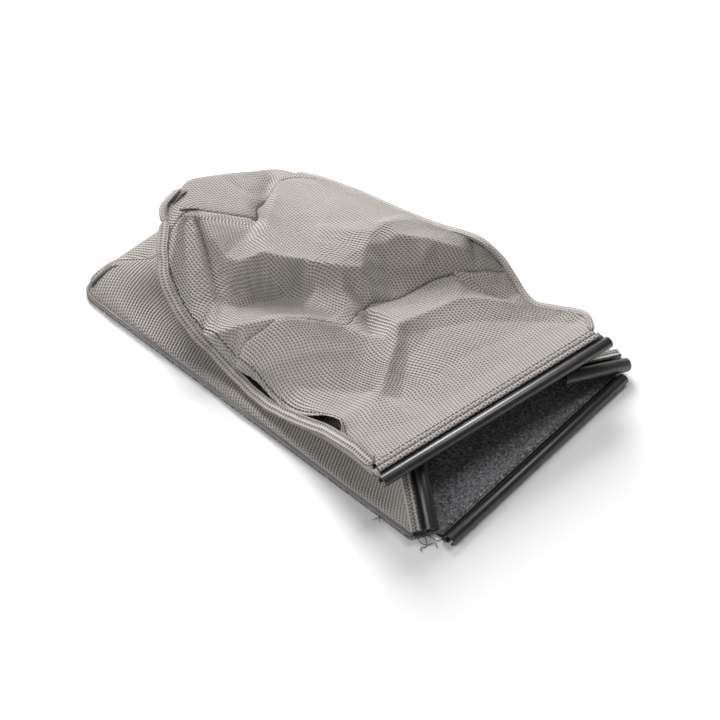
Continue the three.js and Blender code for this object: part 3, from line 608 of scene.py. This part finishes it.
def finish_piece(name, bm, material, stands_for=()):
    """Turns a bmesh into a piece of the bag that rides on the part."""
    data = bpy.data.meshes.new(name)
    for face in bm.faces:
        face.smooth = True
    bm.to_mesh(data)
    bm.free()
    piece = in_scene(name, data)
    data.materials.append(material)
    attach(piece, "root")
    if stands_for:
        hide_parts(*stands_for)
    return piece


def turned(x_axis, y_axis, z_axis, origin):
    return Matrix([[x_axis[k], y_axis[k], z_axis[k], origin[k]] for k in range(3)] + [[0, 0, 0, 1]])


def cloth_uv(grid):
    """Flat cut coordinates of a grid, from the lengths along its rows and columns."""
    rows = np.linalg.norm(np.diff(grid, axis=1), axis=2)
    columns = np.linalg.norm(np.diff(grid, axis=0), axis=2)
    u = np.concatenate([np.zeros((len(grid), 1)), np.cumsum(rows, axis=1)], axis=1)
    u -= u[:, -1:] / 2
    v = np.concatenate([np.zeros((1, grid.shape[1])), np.cumsum(columns, axis=0)], axis=0)
    return np.stack([u, v], axis=2)


def cloth_piece(name, grid, material, stands_for=(), thickness=mesh_thickness, offset=0.0):
    """A sheet of cloth: a grid drawn over the given points, with the cloth's thickness."""
    rows, columns = grid.shape[:2]
    bm = bmesh.new()
    bmesh.ops.create_grid(bm, x_segments=columns - 1, y_segments=rows - 1, size=1)
    cut = bm.loops.layers.uv.new("cut")
    for vertex in bm.verts:
        i = round((vertex.co.y + 1) / 2 * (rows - 1))
        j = round((vertex.co.x + 1) / 2 * (columns - 1))
        vertex.index = i * columns + j
        vertex.co = grid[i, j]
    flat = cloth_uv(grid).reshape(-1, 2)
    for face in bm.faces:
        for loop in face.loops:
            loop[cut].uv = flat[loop.vert.index]
    piece = finish_piece(name, bm, material, stands_for)
    wall = piece.modifiers.new("cloth thickness", "SOLIDIFY")
    wall.thickness = thickness
    wall.offset = offset
    return piece


# Top of the bag

flat_left = set_in(left_seam, ridge_reach) * [1, 1, 0]
flat_right = set_in(right_seam, -ridge_reach) * [1, 1, 0]
across_points = int(bag_width / cloth_step) + 1


def nearest(points, target):
    return int(np.argmin(np.linalg.norm((points - target)[:, :2], axis=1)))


def tied(line, left, right):
    return curve([left] + [place(*p[:2]) for p in line[1:-1]] + [right], across_points)


first_left, second_left = [nearest(left_seam, place(*seam[0])) for seam in (front_cross_seam, rear_cross_seam)]
first_right, second_right = [nearest(right_seam, place(*seam[-1])) for seam in (front_cross_seam, rear_cross_seam)]
shares = np.linspace(0, 1, across_points)
hem_edge = np.array([hem_place(t, 0) for t in shares]) * [1, 1, 0]
hem_stitch = np.array([hem_place(t, hem_width) for t in shares]) * [1, 1, 0]
hem_stitch[0], hem_stitch[-1] = flat_left[0], flat_right[0]
front_seam_line = tied(front_cross_seam, flat_left[first_left], flat_right[first_right])
rear_seam_line = tied(rear_cross_seam, flat_left[second_left], flat_right[second_right])
rear_edge_line = tied(rear_edge_folds, flat_left[-1], flat_right[-1])


def top_plan(near, far, left_part, right_part):
    left, right = flat_left[left_part], flat_right[right_part]
    rows = int(max(length_of(left), length_of(right)) / cloth_step) + 2
    return patch(near, far, even(left, rows), even(right, rows))


def lifted(plan, passes=2, fixed=0):
    grid = plan.copy()
    grid[..., 2] = cloth_height(plan)
    return softened(grid, passes, fixed)


def sunk_edges(grid, first, last, depth=0.0012, reach=0.004):
    """The cloth turns down where it is sewn to the next piece."""
    out = normals_of(grid)
    for rows, wanted in ((range(0, 6), first), (range(len(grid) - 1, len(grid) - 7, -1), last)):
        if not wanted:
            continue
        edge = grid[rows[0]].copy()
        for i in rows:
            away = np.linalg.norm(grid[i] - edge, axis=1)
            grid[i] -= out[i] * (depth * np.exp(-(away / reach * 1.6) ** 2))[:, None]
    return grid


front_plan = top_plan(hem_stitch, front_seam_line, slice(0, first_left + 1), slice(0, first_right + 1))
hem_plan = np.array([hem_edge + (hem_stitch - hem_edge) * k / hem_rows for k in range(hem_rows)])
front_grid = lifted(np.vstack([hem_plan, front_plan]), 2, hem_rows)
hem_height = hem_place(0, 0)[2]
front_grid[:hem_rows + 1, :, 2] = hem_height
hem_round = hem_swell * np.abs(np.sin(np.pi * np.arange(hem_rows + 1) / 6)) ** 0.6
front_grid[:hem_rows + 1, :, 2] += hem_round[:, None] * (1 + 0.25 * np.sin(shares * 61) * np.sin(shares * 23))


def edge_lifted(grid, seam, start, peak, end, inward, rise, reach=0.016):
    """The cloth beside a seam curls up off it between two shares of the seam's length."""
    flat = grid[..., :2].reshape(-1, 2)
    gap = np.linalg.norm(flat[:, None] - seam[None, :, :2], axis=2)
    best = gap.argmin(axis=1)
    share = best / (len(seam) - 1)
    strength = np.interp(share, [start, peak, end], [0, 1, 0])
    strength = (strength * strength * (3 - 2 * strength) * np.exp(-gap.min(axis=1) / reach))[:, None]
    side = beside(runs_of(seam * [1, 1, 0])[best])
    return grid + ((side * inward + [0, 0, rise]) * strength).reshape(grid.shape)


front_grid = edge_lifted(front_grid, left_seam, 0.31, 0.43, 0.52, 0.008, 0.007)
front_grid = edge_lifted(front_grid, left_seam, 0.12, 0.17, 0.31, 0.015, 0.013)
front_grid = sunk_edges(front_grid, False, True)
middle_plan = top_plan(front_seam_line, rear_seam_line, slice(first_left, second_left + 1),
                       slice(first_right, second_right + 1))
middle_grid = sunk_edges(lifted(middle_plan), True, True)
top_front = cloth_piece("top_front_cloth", front_grid, grey_mesh, ["top_front_panel"])
top_rear = cloth_piece("top_rear_cloth", middle_grid, grey_mesh, ["top_rear_panel"])

# Corner seams and the rear of the bag

seam_drop = ridge_height / 2 + seam_allowance
piping_reach = piping_diameter / 2 + piping_gap


def corner_curve(share, middle, seam_end):
    foot = floor_line(share, share, 1, binding_width / 2, wall_foot + piping_diameter / 2)[0]
    head = seam_end - [0, 0, seam_drop + piping_diameter / 2]
    return curve([foot] + [place(*p) for p in middle] + [head], 60)


def shifted(points, x, y):
    return points + unit(np.array([x, y, 0])) * piping_reach


left_corner = corner_curve(left_corner_share, left_corner_seam, left_seam[-1])
right_corner = corner_curve(right_corner_share, right_corner_seam, right_seam[-1])
rear_plan = top_plan(rear_seam_line, rear_edge_line, slice(second_left, seam_points + 1),
                     slice(second_right, seam_points + 1))
rear_top = sunk_edges(lifted(rear_plan), True, False)
rear_edge = rear_top[-1]
rear_left_side = curve([rear_edge[0]] + list(shifted(left_corner[::-1], 0.7, 0.8)[::8]), wall_rows)
rear_right_side = curve([rear_edge[-1]] + list(shifted(right_corner[::-1], -0.9, 0.4)[::8]), wall_rows)
rear_foot = floor_line(left_corner_share, right_corner_share, across_points, binding_width / 2, wall_foot)
rear_foot[0], rear_foot[-1] = rear_left_side[-1], rear_right_side[-1]
rear_wall = patch(rear_edge, rear_foot, rear_left_side, rear_right_side)
down = np.linspace(0, 1, wall_rows)[:, None]
rear_wall[..., 1] += rear_sag * np.sin(np.pi * down) * np.sin(np.pi * shares[None])
rear_grid = softened(np.vstack([rear_top, rear_wall[1:]]), 3)
rear = cloth_piece("rear_cloth", rear_grid, grey_mesh, ["rear_panel"])

# Side walls: from the binding on the floor up to the side seams, hemmed at the side clips


def mouth_edge(clip, clip_shares, foot, head, count):
    on_clip = [clip["start"] + clip["along"] * t * clip["length"]
               + clip["side"] * (clip["diameter"] / 2 + flange_width + hem_gap) for t in clip_shares]
    inward = (on_clip[-1] - head) * [1, 1, 0]
    fold = head + unit(inward) * mouth_fold_in - [0, 0, mouth_fold_down]
    return curve([foot] + on_clip + [fold, head], count)


side_columns = int(bag_length / cloth_step)
along = np.linspace(0, 1, side_columns)[None]
risen = np.linspace(0, 1, side_rows)[:, None]


def side_wall(seam, start, corner_share, clip, clip_shares, corner_side):
    """A side wall's grid before it sags, and its height along the bag."""
    foot = floor_line(start, corner_share, side_columns, binding_width / 2, wall_foot)
    head = even(seam, side_columns) - [0, 0, seam_drop]
    front_side = mouth_edge(clip, clip_shares, foot[0], head[0], side_rows)
    rear_side = curve(corner_side[::4], side_rows)
    foot[-1], head[-1] = rear_side[0], rear_side[-1]
    return patch(foot, head, front_side, rear_side), (head - foot)[:, 2]


left_wall, wall_height = side_wall(left_seam, 0, left_corner_share, left_clip, (0.03, 0.5, 0.96),
                                   shifted(left_corner, -0.85, -0.7))
away = np.abs(along - 0.5) / 0.3
tuck = np.where(away < 1, np.cos(np.clip(away, 0, 1) * np.pi / 2) ** 2, 0)
left_wall[..., 0] += np.sin(np.pi * risen) * np.sin(np.pi * along) * wall_tuck * tuck
# The wall lies nearly flat above the binding, then folds in under the seam
rear_ease = np.clip((1 - along) / 0.25, 0, 1)
fold_ends = np.clip(np.sin(np.pi * along) * 2.2, 0, 1) ** 0.8 * rear_ease ** 2 * (3 - 2 * rear_ease)
fold_in = wall_fold * np.exp(-((risen - 0.60) / 0.17) ** 2)
foot_out = foot_swell * np.exp(-((risen - 0.10) / 0.07) ** 2)
left_wall[..., 0] += (fold_in - foot_out) * fold_ends
left_wall[..., 2] -= (wall_height * (risen - risen ** 2.1) - 0.0015 * np.sin(np.pi * risen)) * fold_ends
left_wall = softened(left_wall, 3)
left_side = cloth_piece("left_side_cloth", left_wall[:, ::-1], grey_mesh, ["left_side_panel"])

right_wall = side_wall(right_seam, 1, right_corner_share, right_clip, (0.97, 0.5, 0.04),
                       shifted(right_corner, 0.6, -0.8))[0]
bulge = np.sin(np.pi * risen)
right_wall[..., 0] += np.sin(np.pi * along) * (right_sag * bulge - right_bulge * bulge ** 8)
right_wall = softened(right_wall, 3)
right_side = cloth_piece("right_side_cloth", right_wall, grey_mesh, ["right_side_panel"])


# Seam ridges, binding and piping: a soft section carried along a line

def carried(name, line, width, height, upright, material, stands_for=(), sides=16, flat=0.55,
            wobble=0.0004, step=0.004):
    """A rounded strip along a line; its section is a flattened circle."""
    count = max(8, int(length_of(line) / step))
    line = even(line, count)
    run = runs_of(line)
    upright = np.broadcast_to(np.asarray(upright, float), line.shape)
    rise = units(upright - run * np.sum(upright * run, axis=1, keepdims=True))
    side = np.cross(rise, run)
    bm = bmesh.new()
    cut = bm.loops.layers.uv.new("cut")
    bmesh.ops.create_circle(bm, cap_ends=False, segments=sides, radius=1)
    ring = list(bm.verts)
    shape = [(math.copysign(abs(v.co.x) ** flat, v.co.x) * width / 2,
              math.copysign(abs(v.co.y) ** flat, v.co.y) * height / 2) for v in ring]
    edges = list(bm.edges)
    placed = []
    for k in range(count):
        if k:
            new = bmesh.ops.extrude_edge_only(bm, edges=edges)["geom"]
            edges = [g for g in new if isinstance(g, bmesh.types.BMEdge) and all(v in new for v in g.verts)]
            fresh = [g for g in new if isinstance(g, bmesh.types.BMVert)]
            ring = [min(fresh, key=lambda v, c=old.co: (v.co - c).length_squared) for old in ring]
        end = min(1.0, 0.35 + min(k, count - 1 - k) * 0.4)
        placed.append((ring, k, end))
    for ring, k, end in placed:
        slip = noise.noise(Vector(line[k]) * 45) * wobble
        for vertex, (x, y) in zip(ring, shape):
            vertex.co = line[k] + side[k] * (x * end + slip) + rise[k] * (y * end + slip)
    runs = np.r_[0, np.cumsum(np.linalg.norm(np.diff(line, axis=0), axis=1))]
    turn = {vertex: (n, runs[k]) for ring, k, _ in placed for n, vertex in enumerate(ring)}
    girth = math.pi * (width + height) / 2
    for face in bm.faces:
        places = [turn[loop.vert][0] for loop in face.loops]
        over = max(places) - min(places) > sides / 2
        for loop in face.loops:
            n, run_at = turn[loop.vert]
            loop[cut].uv = ((n + (sides if over and n == 0 else 0)) / sides * girth, run_at)
    for ring in (placed[0][0], placed[-1][0]):
        bmesh.ops.contextual_create(bm, geom=ring)
    bmesh.ops.recalc_face_normals(bm, faces=bm.faces)
    return finish_piece(name, bm, material, stands_for)


up = np.array([0, 0, 1.0])
carried("left_seam_ridge", left_seam[:-2], 0.0150, 0.0036, [-0.45, -0.1, 0.9], seam_cloth, ["left_seam"],
        flat=0.60, wobble=0.0014)
over_corner = [0.001, 0.005, -0.006]
right_ridge_line = np.vstack([right_seam, right_seam[-1:] + over_corner]) - [0, 0, 0.0010]
carried("right_seam_ridge", right_ridge_line, 0.0090, 0.0044, up, seam_cloth, ["right_seam"], wobble=0.0009)
binding_line = floor_line(0, 1, 300, binding_width / 2, felt_thickness + clearance + binding_height / 2)
carried("bottom_edge_binding", binding_line + [0, 0, 0.0006], binding_width, binding_swell, up, binding_tape,
        ["bottom_binding"], wobble=0.0008)
for side_name, corner in (("left", left_corner), ("right", right_corner)):
    carried(side_name + "_corner_seam", corner, piping_diameter * 1.5, piping_diameter, [0, 1, 0], grey_tape,
            [side_name + "_corner_piping"])

# The left seam's loose end, folded back over the rear edge, with a dark strip of painted shade under it; the flap sewn
# over the corner, with a dark strip of painted shadow under its edge; a tab on the cross seam
tail_upright = [-0.3, 0.35, 0.9]
seam_tail = curve([at(-91, 530, 93), at(-84, 542, 97), at(-72, 551, 101), at(-57, 555, 103), at(-40, 557, 100)], 40)
# A dark strip under the loose end: painted shade filling the gap between the seam's end and the cloth below
tail_painted_shade = seam_tail - [-0.006, 0.004, 0.0036]
carried("left_seam_tail", seam_tail, 0.0120, 0.0034, tail_upright, seam_cloth, wobble=0.0020)
carried("seam_tail_painted_shade", tail_painted_shade, 0.0120, 0.0026, tail_upright, painted_shade_mesh, wobble=0.0010)
corner_flap = left_corner[2:44] + [-0.0015, -0.0010, 0.0016]
# A dark strip in the thread material just under the flap's edge: painted shadow cast by the flap
flap_painted_shadow = corner_flap - [0.0038, 0.0042, 0.0002]
carried("left_corner_flap", corner_flap, 0.0105, 0.0022, [-0.30, 0.1, 0.95], grey_mesh, flat=0.8, wobble=0.0014)
carried("left_corner_flap_painted_shadow", flap_painted_shadow, 0.0042, 0.0026, [-0.25, 0.1, 0.95], dark_thread, wobble=0.0014)
tab_line = curve([at(-67, 530, 100.6), at(-58, 521, 101.2), at(-49, 513, 99.6)], 12)
carried("seam_tab", tab_line, 0.0026, 0.0018, up, dark_thread, wobble=0.0003, step=0.002)


# Hems of the side panels, folded over the flanges of the side clips

def hem_strip(name, clip, start, end):
    rows, columns = 70, 13
    reach = np.linspace(-0.0004, 0.0116, columns)
    height = hem_thickness / 2 + 0.0001 + 0.0010 * np.abs(np.sin(np.pi * np.arange(columns) / 6)) ** 0.6
    height -= 0.0016 * np.clip((reach - 0.0085) / 0.0031, 0, 1)
    grid = np.array([[on_flange(clip, t, r, h) for r, h in zip(reach, height)] for t in np.linspace(start, end, rows)])
    strip = cloth_piece(name, grid, grey_mesh, thickness=0.0022)
    out = normals_of(grid)
    if out[0, 0] @ clip["lift"] < 0:
        out = -out
    for k, column in (("inner", 1), ("outer", 6)):
        stitches("%s_%s_stitches" % (name, k), grid[:, column] + out[:, column] * 0.0011, out[:, column],
                 0.0044, 0.0012, 0.0013, dark_thread)
    return strip, grid


# Felt bottom

lift = bottom_flange_height + flange_thickness / 2 + clearance
front_lip = clip_diameter / 2 + flange_width - flange_overlap
felt_left, felt_right = -half_width + side_clip_diameter / 4, half_width - bottom_clip_short - clearance
felt_front = [
    ((felt_left, mouth + front_lip, lift), (felt_right, mouth + front_lip, lift)),
    ((-half_width, mouth + felt_on_flange, lift), (felt_right + side_clip_diameter / 2, mouth + felt_on_flange, lift)),
    ((-half_width - side_clip_diameter / 2, mouth + felt_on_floor, 0), (half_width, mouth + felt_on_floor, 0)),
]


def felt_side(side, share, last):
    return even(np.vstack([[ends[side] for ends in felt_front],
                           floor_line(share, floor_run[last] / floor_run[-1], 90, 0, 0)]), 150)


felt_left_line = felt_side(0, 0, len(corner_one))
felt_right_line = felt_side(1, 1, 1 + len(corner_one))
span = np.linspace(0, 1, felt_columns)[None, :, None]
felt_grid = felt_left_line[:, None] * (1 - span) + felt_right_line[:, None] * span
felt_piece = cloth_piece("felt_bottom", felt_grid, black_felt, ["bottom_panel"], felt_thickness, offset=1.0)


# Plastic clips: a slotted tube with a sewing flange

def clip_piece(name, clip, slot):
    outer = clip["diameter"] / 2
    inner = outer - clip_wall
    slot_half = math.asin(slot / 2 / outer)
    bottom = math.asin((-flange_thickness / 2 - clip["drop"]) / outer)
    top = math.asin((flange_thickness / 2 - clip["drop"]) / outer)
    start, end = -math.pi / 2 + slot_half, 3 * math.pi / 2 - slot_half
    bm = bmesh.new()
    ends = [bm.verts.new((r * math.cos(start), r * math.sin(start), 0)) for r in (inner, outer)]
    edge = bm.edges.new(ends)
    geom = [edge] + ends
    flange = None
    for turn, steps in ((bottom - start, max(2, int((bottom - start) / 0.12))), (top - bottom, 1),
                        (end - top, int((end - top) / 0.12))):
        spun = bmesh.ops.spin(bm, geom=geom, cent=(0, 0, 0), axis=(0, 0, 1), dvec=(0, 0, 0), angle=turn, steps=steps,
                              use_merge=False, use_duplicate=False)
        geom = spun["geom_last"]
        if steps == 1:
            flange = [e for e in bm.edges if all(abs(v.co.length - outer) < 1e-6 for v in e.verts)
                      and all(abs(v.co.y + clip["drop"]) < flange_thickness * 0.6 and v.co.x > 0 for v in e.verts)]
    grown = bmesh.ops.extrude_edge_only(bm, edges=flange)["geom"]
    for vertex in [g for g in grown if isinstance(g, bmesh.types.BMVert)]:
        vertex.co.x = outer + flange_width
    bmesh.ops.remove_doubles(bm, verts=bm.verts, dist=1e-6)
    section = list(bm.faces)
    raised = bmesh.ops.extrude_face_region(bm, geom=section)["geom"]
    bmesh.ops.translate(bm, verts=[g for g in raised if isinstance(g, bmesh.types.BMVert)], vec=(0, 0, clip["length"]))
    bmesh.ops.recalc_face_normals(bm, faces=bm.faces)
    rims = [e for e in bm.edges if len(e.link_faces) == 2 and e.calc_face_angle() > 0.9]
    bmesh.ops.bevel(bm, geom=rims, offset=0.0003, offset_type="OFFSET", segments=2, profile=0.5, affect="EDGES",
                    material=-1)
    cut = bm.loops.layers.uv.new("cut")
    for face in bm.faces:
        for loop in face.loops:
            p = loop.vert.co
            loop[cut].uv = (math.atan2(p.y, p.x) * outer, p.z)
    bmesh.ops.transform(bm, matrix=turned(clip["side"], clip["lift"], clip["along"], clip["start"]), verts=bm.verts)
    piece = finish_piece(name + "_shell", bm, black_plastic, [name])
    piece.data.set_sharp_from_angle(angle=math.radians(40))
    return piece


clip_piece("top_clip", top_clip, top_slot)
clip_piece("bottom_clip", bottom_clip, bottom_slot)
clip_piece("left_clip", left_clip, side_slot)
clip_piece("right_clip", right_clip, side_slot)


# Stitches: short rounded lengths of thread laid end to end along a line

def stitches(name, line, out, length, gap, width, material):
    bm = bmesh.new()
    total = length_of(line)
    count = max(1, int(total / (length + gap)))
    middles = even(line, count * 2 + 1)[1::2]
    run = runs_of(middles) if count > 1 else np.array([unit(line[-1] - line[0])])
    out = np.broadcast_to(np.asarray(out, float), line.shape)
    stops = np.linspace(0, len(line) - 1, count * 2 + 1)[1::2]
    for k, middle in enumerate(middles):
        n = out[int(round(stops[k]))]
        n = unit(n - run[k] * (n @ run[k]))
        side = np.cross(n, run[k])
        size = length * (1 + 0.18 * noise.noise(Vector(middle) * 300))
        tilt = 0.16 * noise.noise(Vector(middle) * 210)
        along = unit(run[k] + side * tilt)
        side = np.cross(n, along)
        made = bmesh.ops.create_cone(bm, cap_ends=True, segments=6, radius1=width / 2, radius2=width / 2,
                                     depth=size * 0.7)
        verts = made["verts"]
        tips = bmesh.ops.poke(bm, faces=[f for f in {f for v in verts for f in v.link_faces} if len(f.verts) == 6])
        for tip in tips["verts"]:
            tip.co.z *= 1.42
        bmesh.ops.transform(bm, matrix=turned(n, side, along, middle + n * stitch_rise), verts=verts + tips["verts"])
    bmesh.ops.recalc_face_normals(bm, faces=bm.faces)
    return finish_piece(name, bm, material, ())


front_out = normals_of(front_grid)
middle_out = normals_of(middle_grid)
half_cloth = mesh_thickness / 2
for label, row in (("hem_inner_stitches", hem_rows), ("hem_edge_stitches", hem_rows // 2)):
    stitches(label, front_grid[row] + front_out[row] * half_cloth, front_out[row], 0.0048, 0.0007, 0.0018, dark_thread)
beside_ridge = 3
for label, sewn, sewn_out, first_row in (("front", front_grid, front_out, hem_rows + 2),
                                         ("rear", middle_grid, middle_out, 2)):
    rail, rail_out = sewn[first_row:, beside_ridge], sewn_out[first_row:, beside_ridge]
    stitches("left_seam_stitches_" + label, rail + rail_out * half_cloth, rail_out, 0.0046, 0.0010, 0.0015,
             dark_thread)
for label, last_row, next_row, row_out in (("front", front_grid[-1], middle_grid[0], middle_out[0]),
                                           ("rear", middle_grid[-1], rear_grid[0], middle_out[-1])):
    stitches(label + "_cross_stitches", (last_row + next_row) / 2 + row_out * stitch_rise, row_out, 0.0032, 0.0014,
             0.0009, dark_thread)
felt_stitch = even([(x, mouth + front_lip + 0.0022, lift + felt_thickness)
                    for x in (felt_left + 0.004, felt_right - 0.004)], 200)
stitches("felt_front_stitches", felt_stitch, up, 0.0050, 0.0026, 0.0015, rust_thread)
binding_stitch = binding_line + [0, 0, binding_height / 2]
stitches("binding_stitches", binding_stitch, up, 0.0036, 0.0020, 0.0008, dark_thread)

left_hem, left_hem_grid = hem_strip("left_side_hem", left_clip, 0.01, 0.99)
right_hem, right_hem_grid = hem_strip("right_side_hem", right_clip, 0.02, 0.99)

# Ends of thread left long at the front corner
for k, line in enumerate((
    [(-187, 31, 6), (-191, 24, 3), (-187, 16, 1.2), (-180, 12, 2.6), (-183, 5, 0.9)],
    [(-184, 29, 6), (-184, 21, 3), (-190, 16, 1.0), (-196, 19, 1.6), (-198, 14, 0.8)],
    [(-182, 27, 6), (-178, 20, 4), (-176, 12, 1.2), (-171, 9, 2.4), (-172, 3, 0.8)],
    [(-191, 82, 6), (-197, 79, 4), (-201, 74, 2.2)],
    [(-192, 78, 6), (-198, 81, 3), (-202, 84, 1.2)],
)):
    carried("thread_end_%d" % (k + 1), curve([at(*p) for p in line], 30), 0.0009, 0.0009, [0.1, 0.2, 1], dark_thread,
            sides=6, flat=1.0, wobble=0.0, step=0.0015)

# Studio

floor_bm = bmesh.new()
bmesh.ops.create_grid(floor_bm, x_segments=2, y_segments=2, size=6)
floor_data = bpy.data.meshes.new("studio floor")
floor_bm.to_mesh(floor_data)
floor_bm.free()
floor_paint = Paint("pale studio floor", 0.9, Base_Color=(0.93, 0.93, 0.93, 1), Specular_IOR_Level=0.1)
floor_data.materials.append(floor_paint.material)
in_scene("studio_floor", floor_data)

world = bpy.data.worlds.new("studio")
bpy.context.scene.world = world
world.use_nodes = True
sky = world.node_tree.nodes["Background"]
sky.inputs["Color"].default_value = (1.0, 1.0, 1.0, 1)
sky.inputs["Strength"].default_value = 0.12


def turn_along(thing, direction):
    """Turns a lamp or camera so that it looks along a direction."""
    thing.rotation_mode = "QUATERNION"
    thing.rotation_quaternion = direction.to_track_quat("-Z", "Y")


def lamp(name, position, size, power, aim=(0, 0, 0.03)):
    light = bpy.data.lights.new(name, "AREA")
    light.shape = "RECTANGLE"
    light.size, light.size_y = size
    light.energy = power
    holder = in_scene(name, light)
    holder.location = position
    turn_along(holder, Vector(aim) - Vector(position))


lamp("main softbox", (1.65, 2.55, 1.90), (1.7, 1.7), 180)
lamp("left softbox", (-2.40, 0.90, 1.90), (1.7, 1.7), 42)
lamp("overhead softbox", (0.90, -0.16, 2.05), (0.9, 0.9), 16, (0, -0.1, 0.03))
lamp("fill softbox", (-1.3, -1.6, 1.0), (0.9, 0.6), 3)
bpy.context.scene.view_settings.view_transform = "Standard"

back = Vector((math.sin(camera_turn) * math.cos(camera_height), -math.cos(camera_turn) * math.cos(camera_height),
               math.sin(camera_height)))
lens = bpy.data.cameras.new("camera")
lens.lens = camera_lens
lens.sensor_width = 36
camera = in_scene("camera", lens)
camera.location = camera_target + back * camera_distance
turn_along(camera, -back)
bpy.context.scene.camera = camera
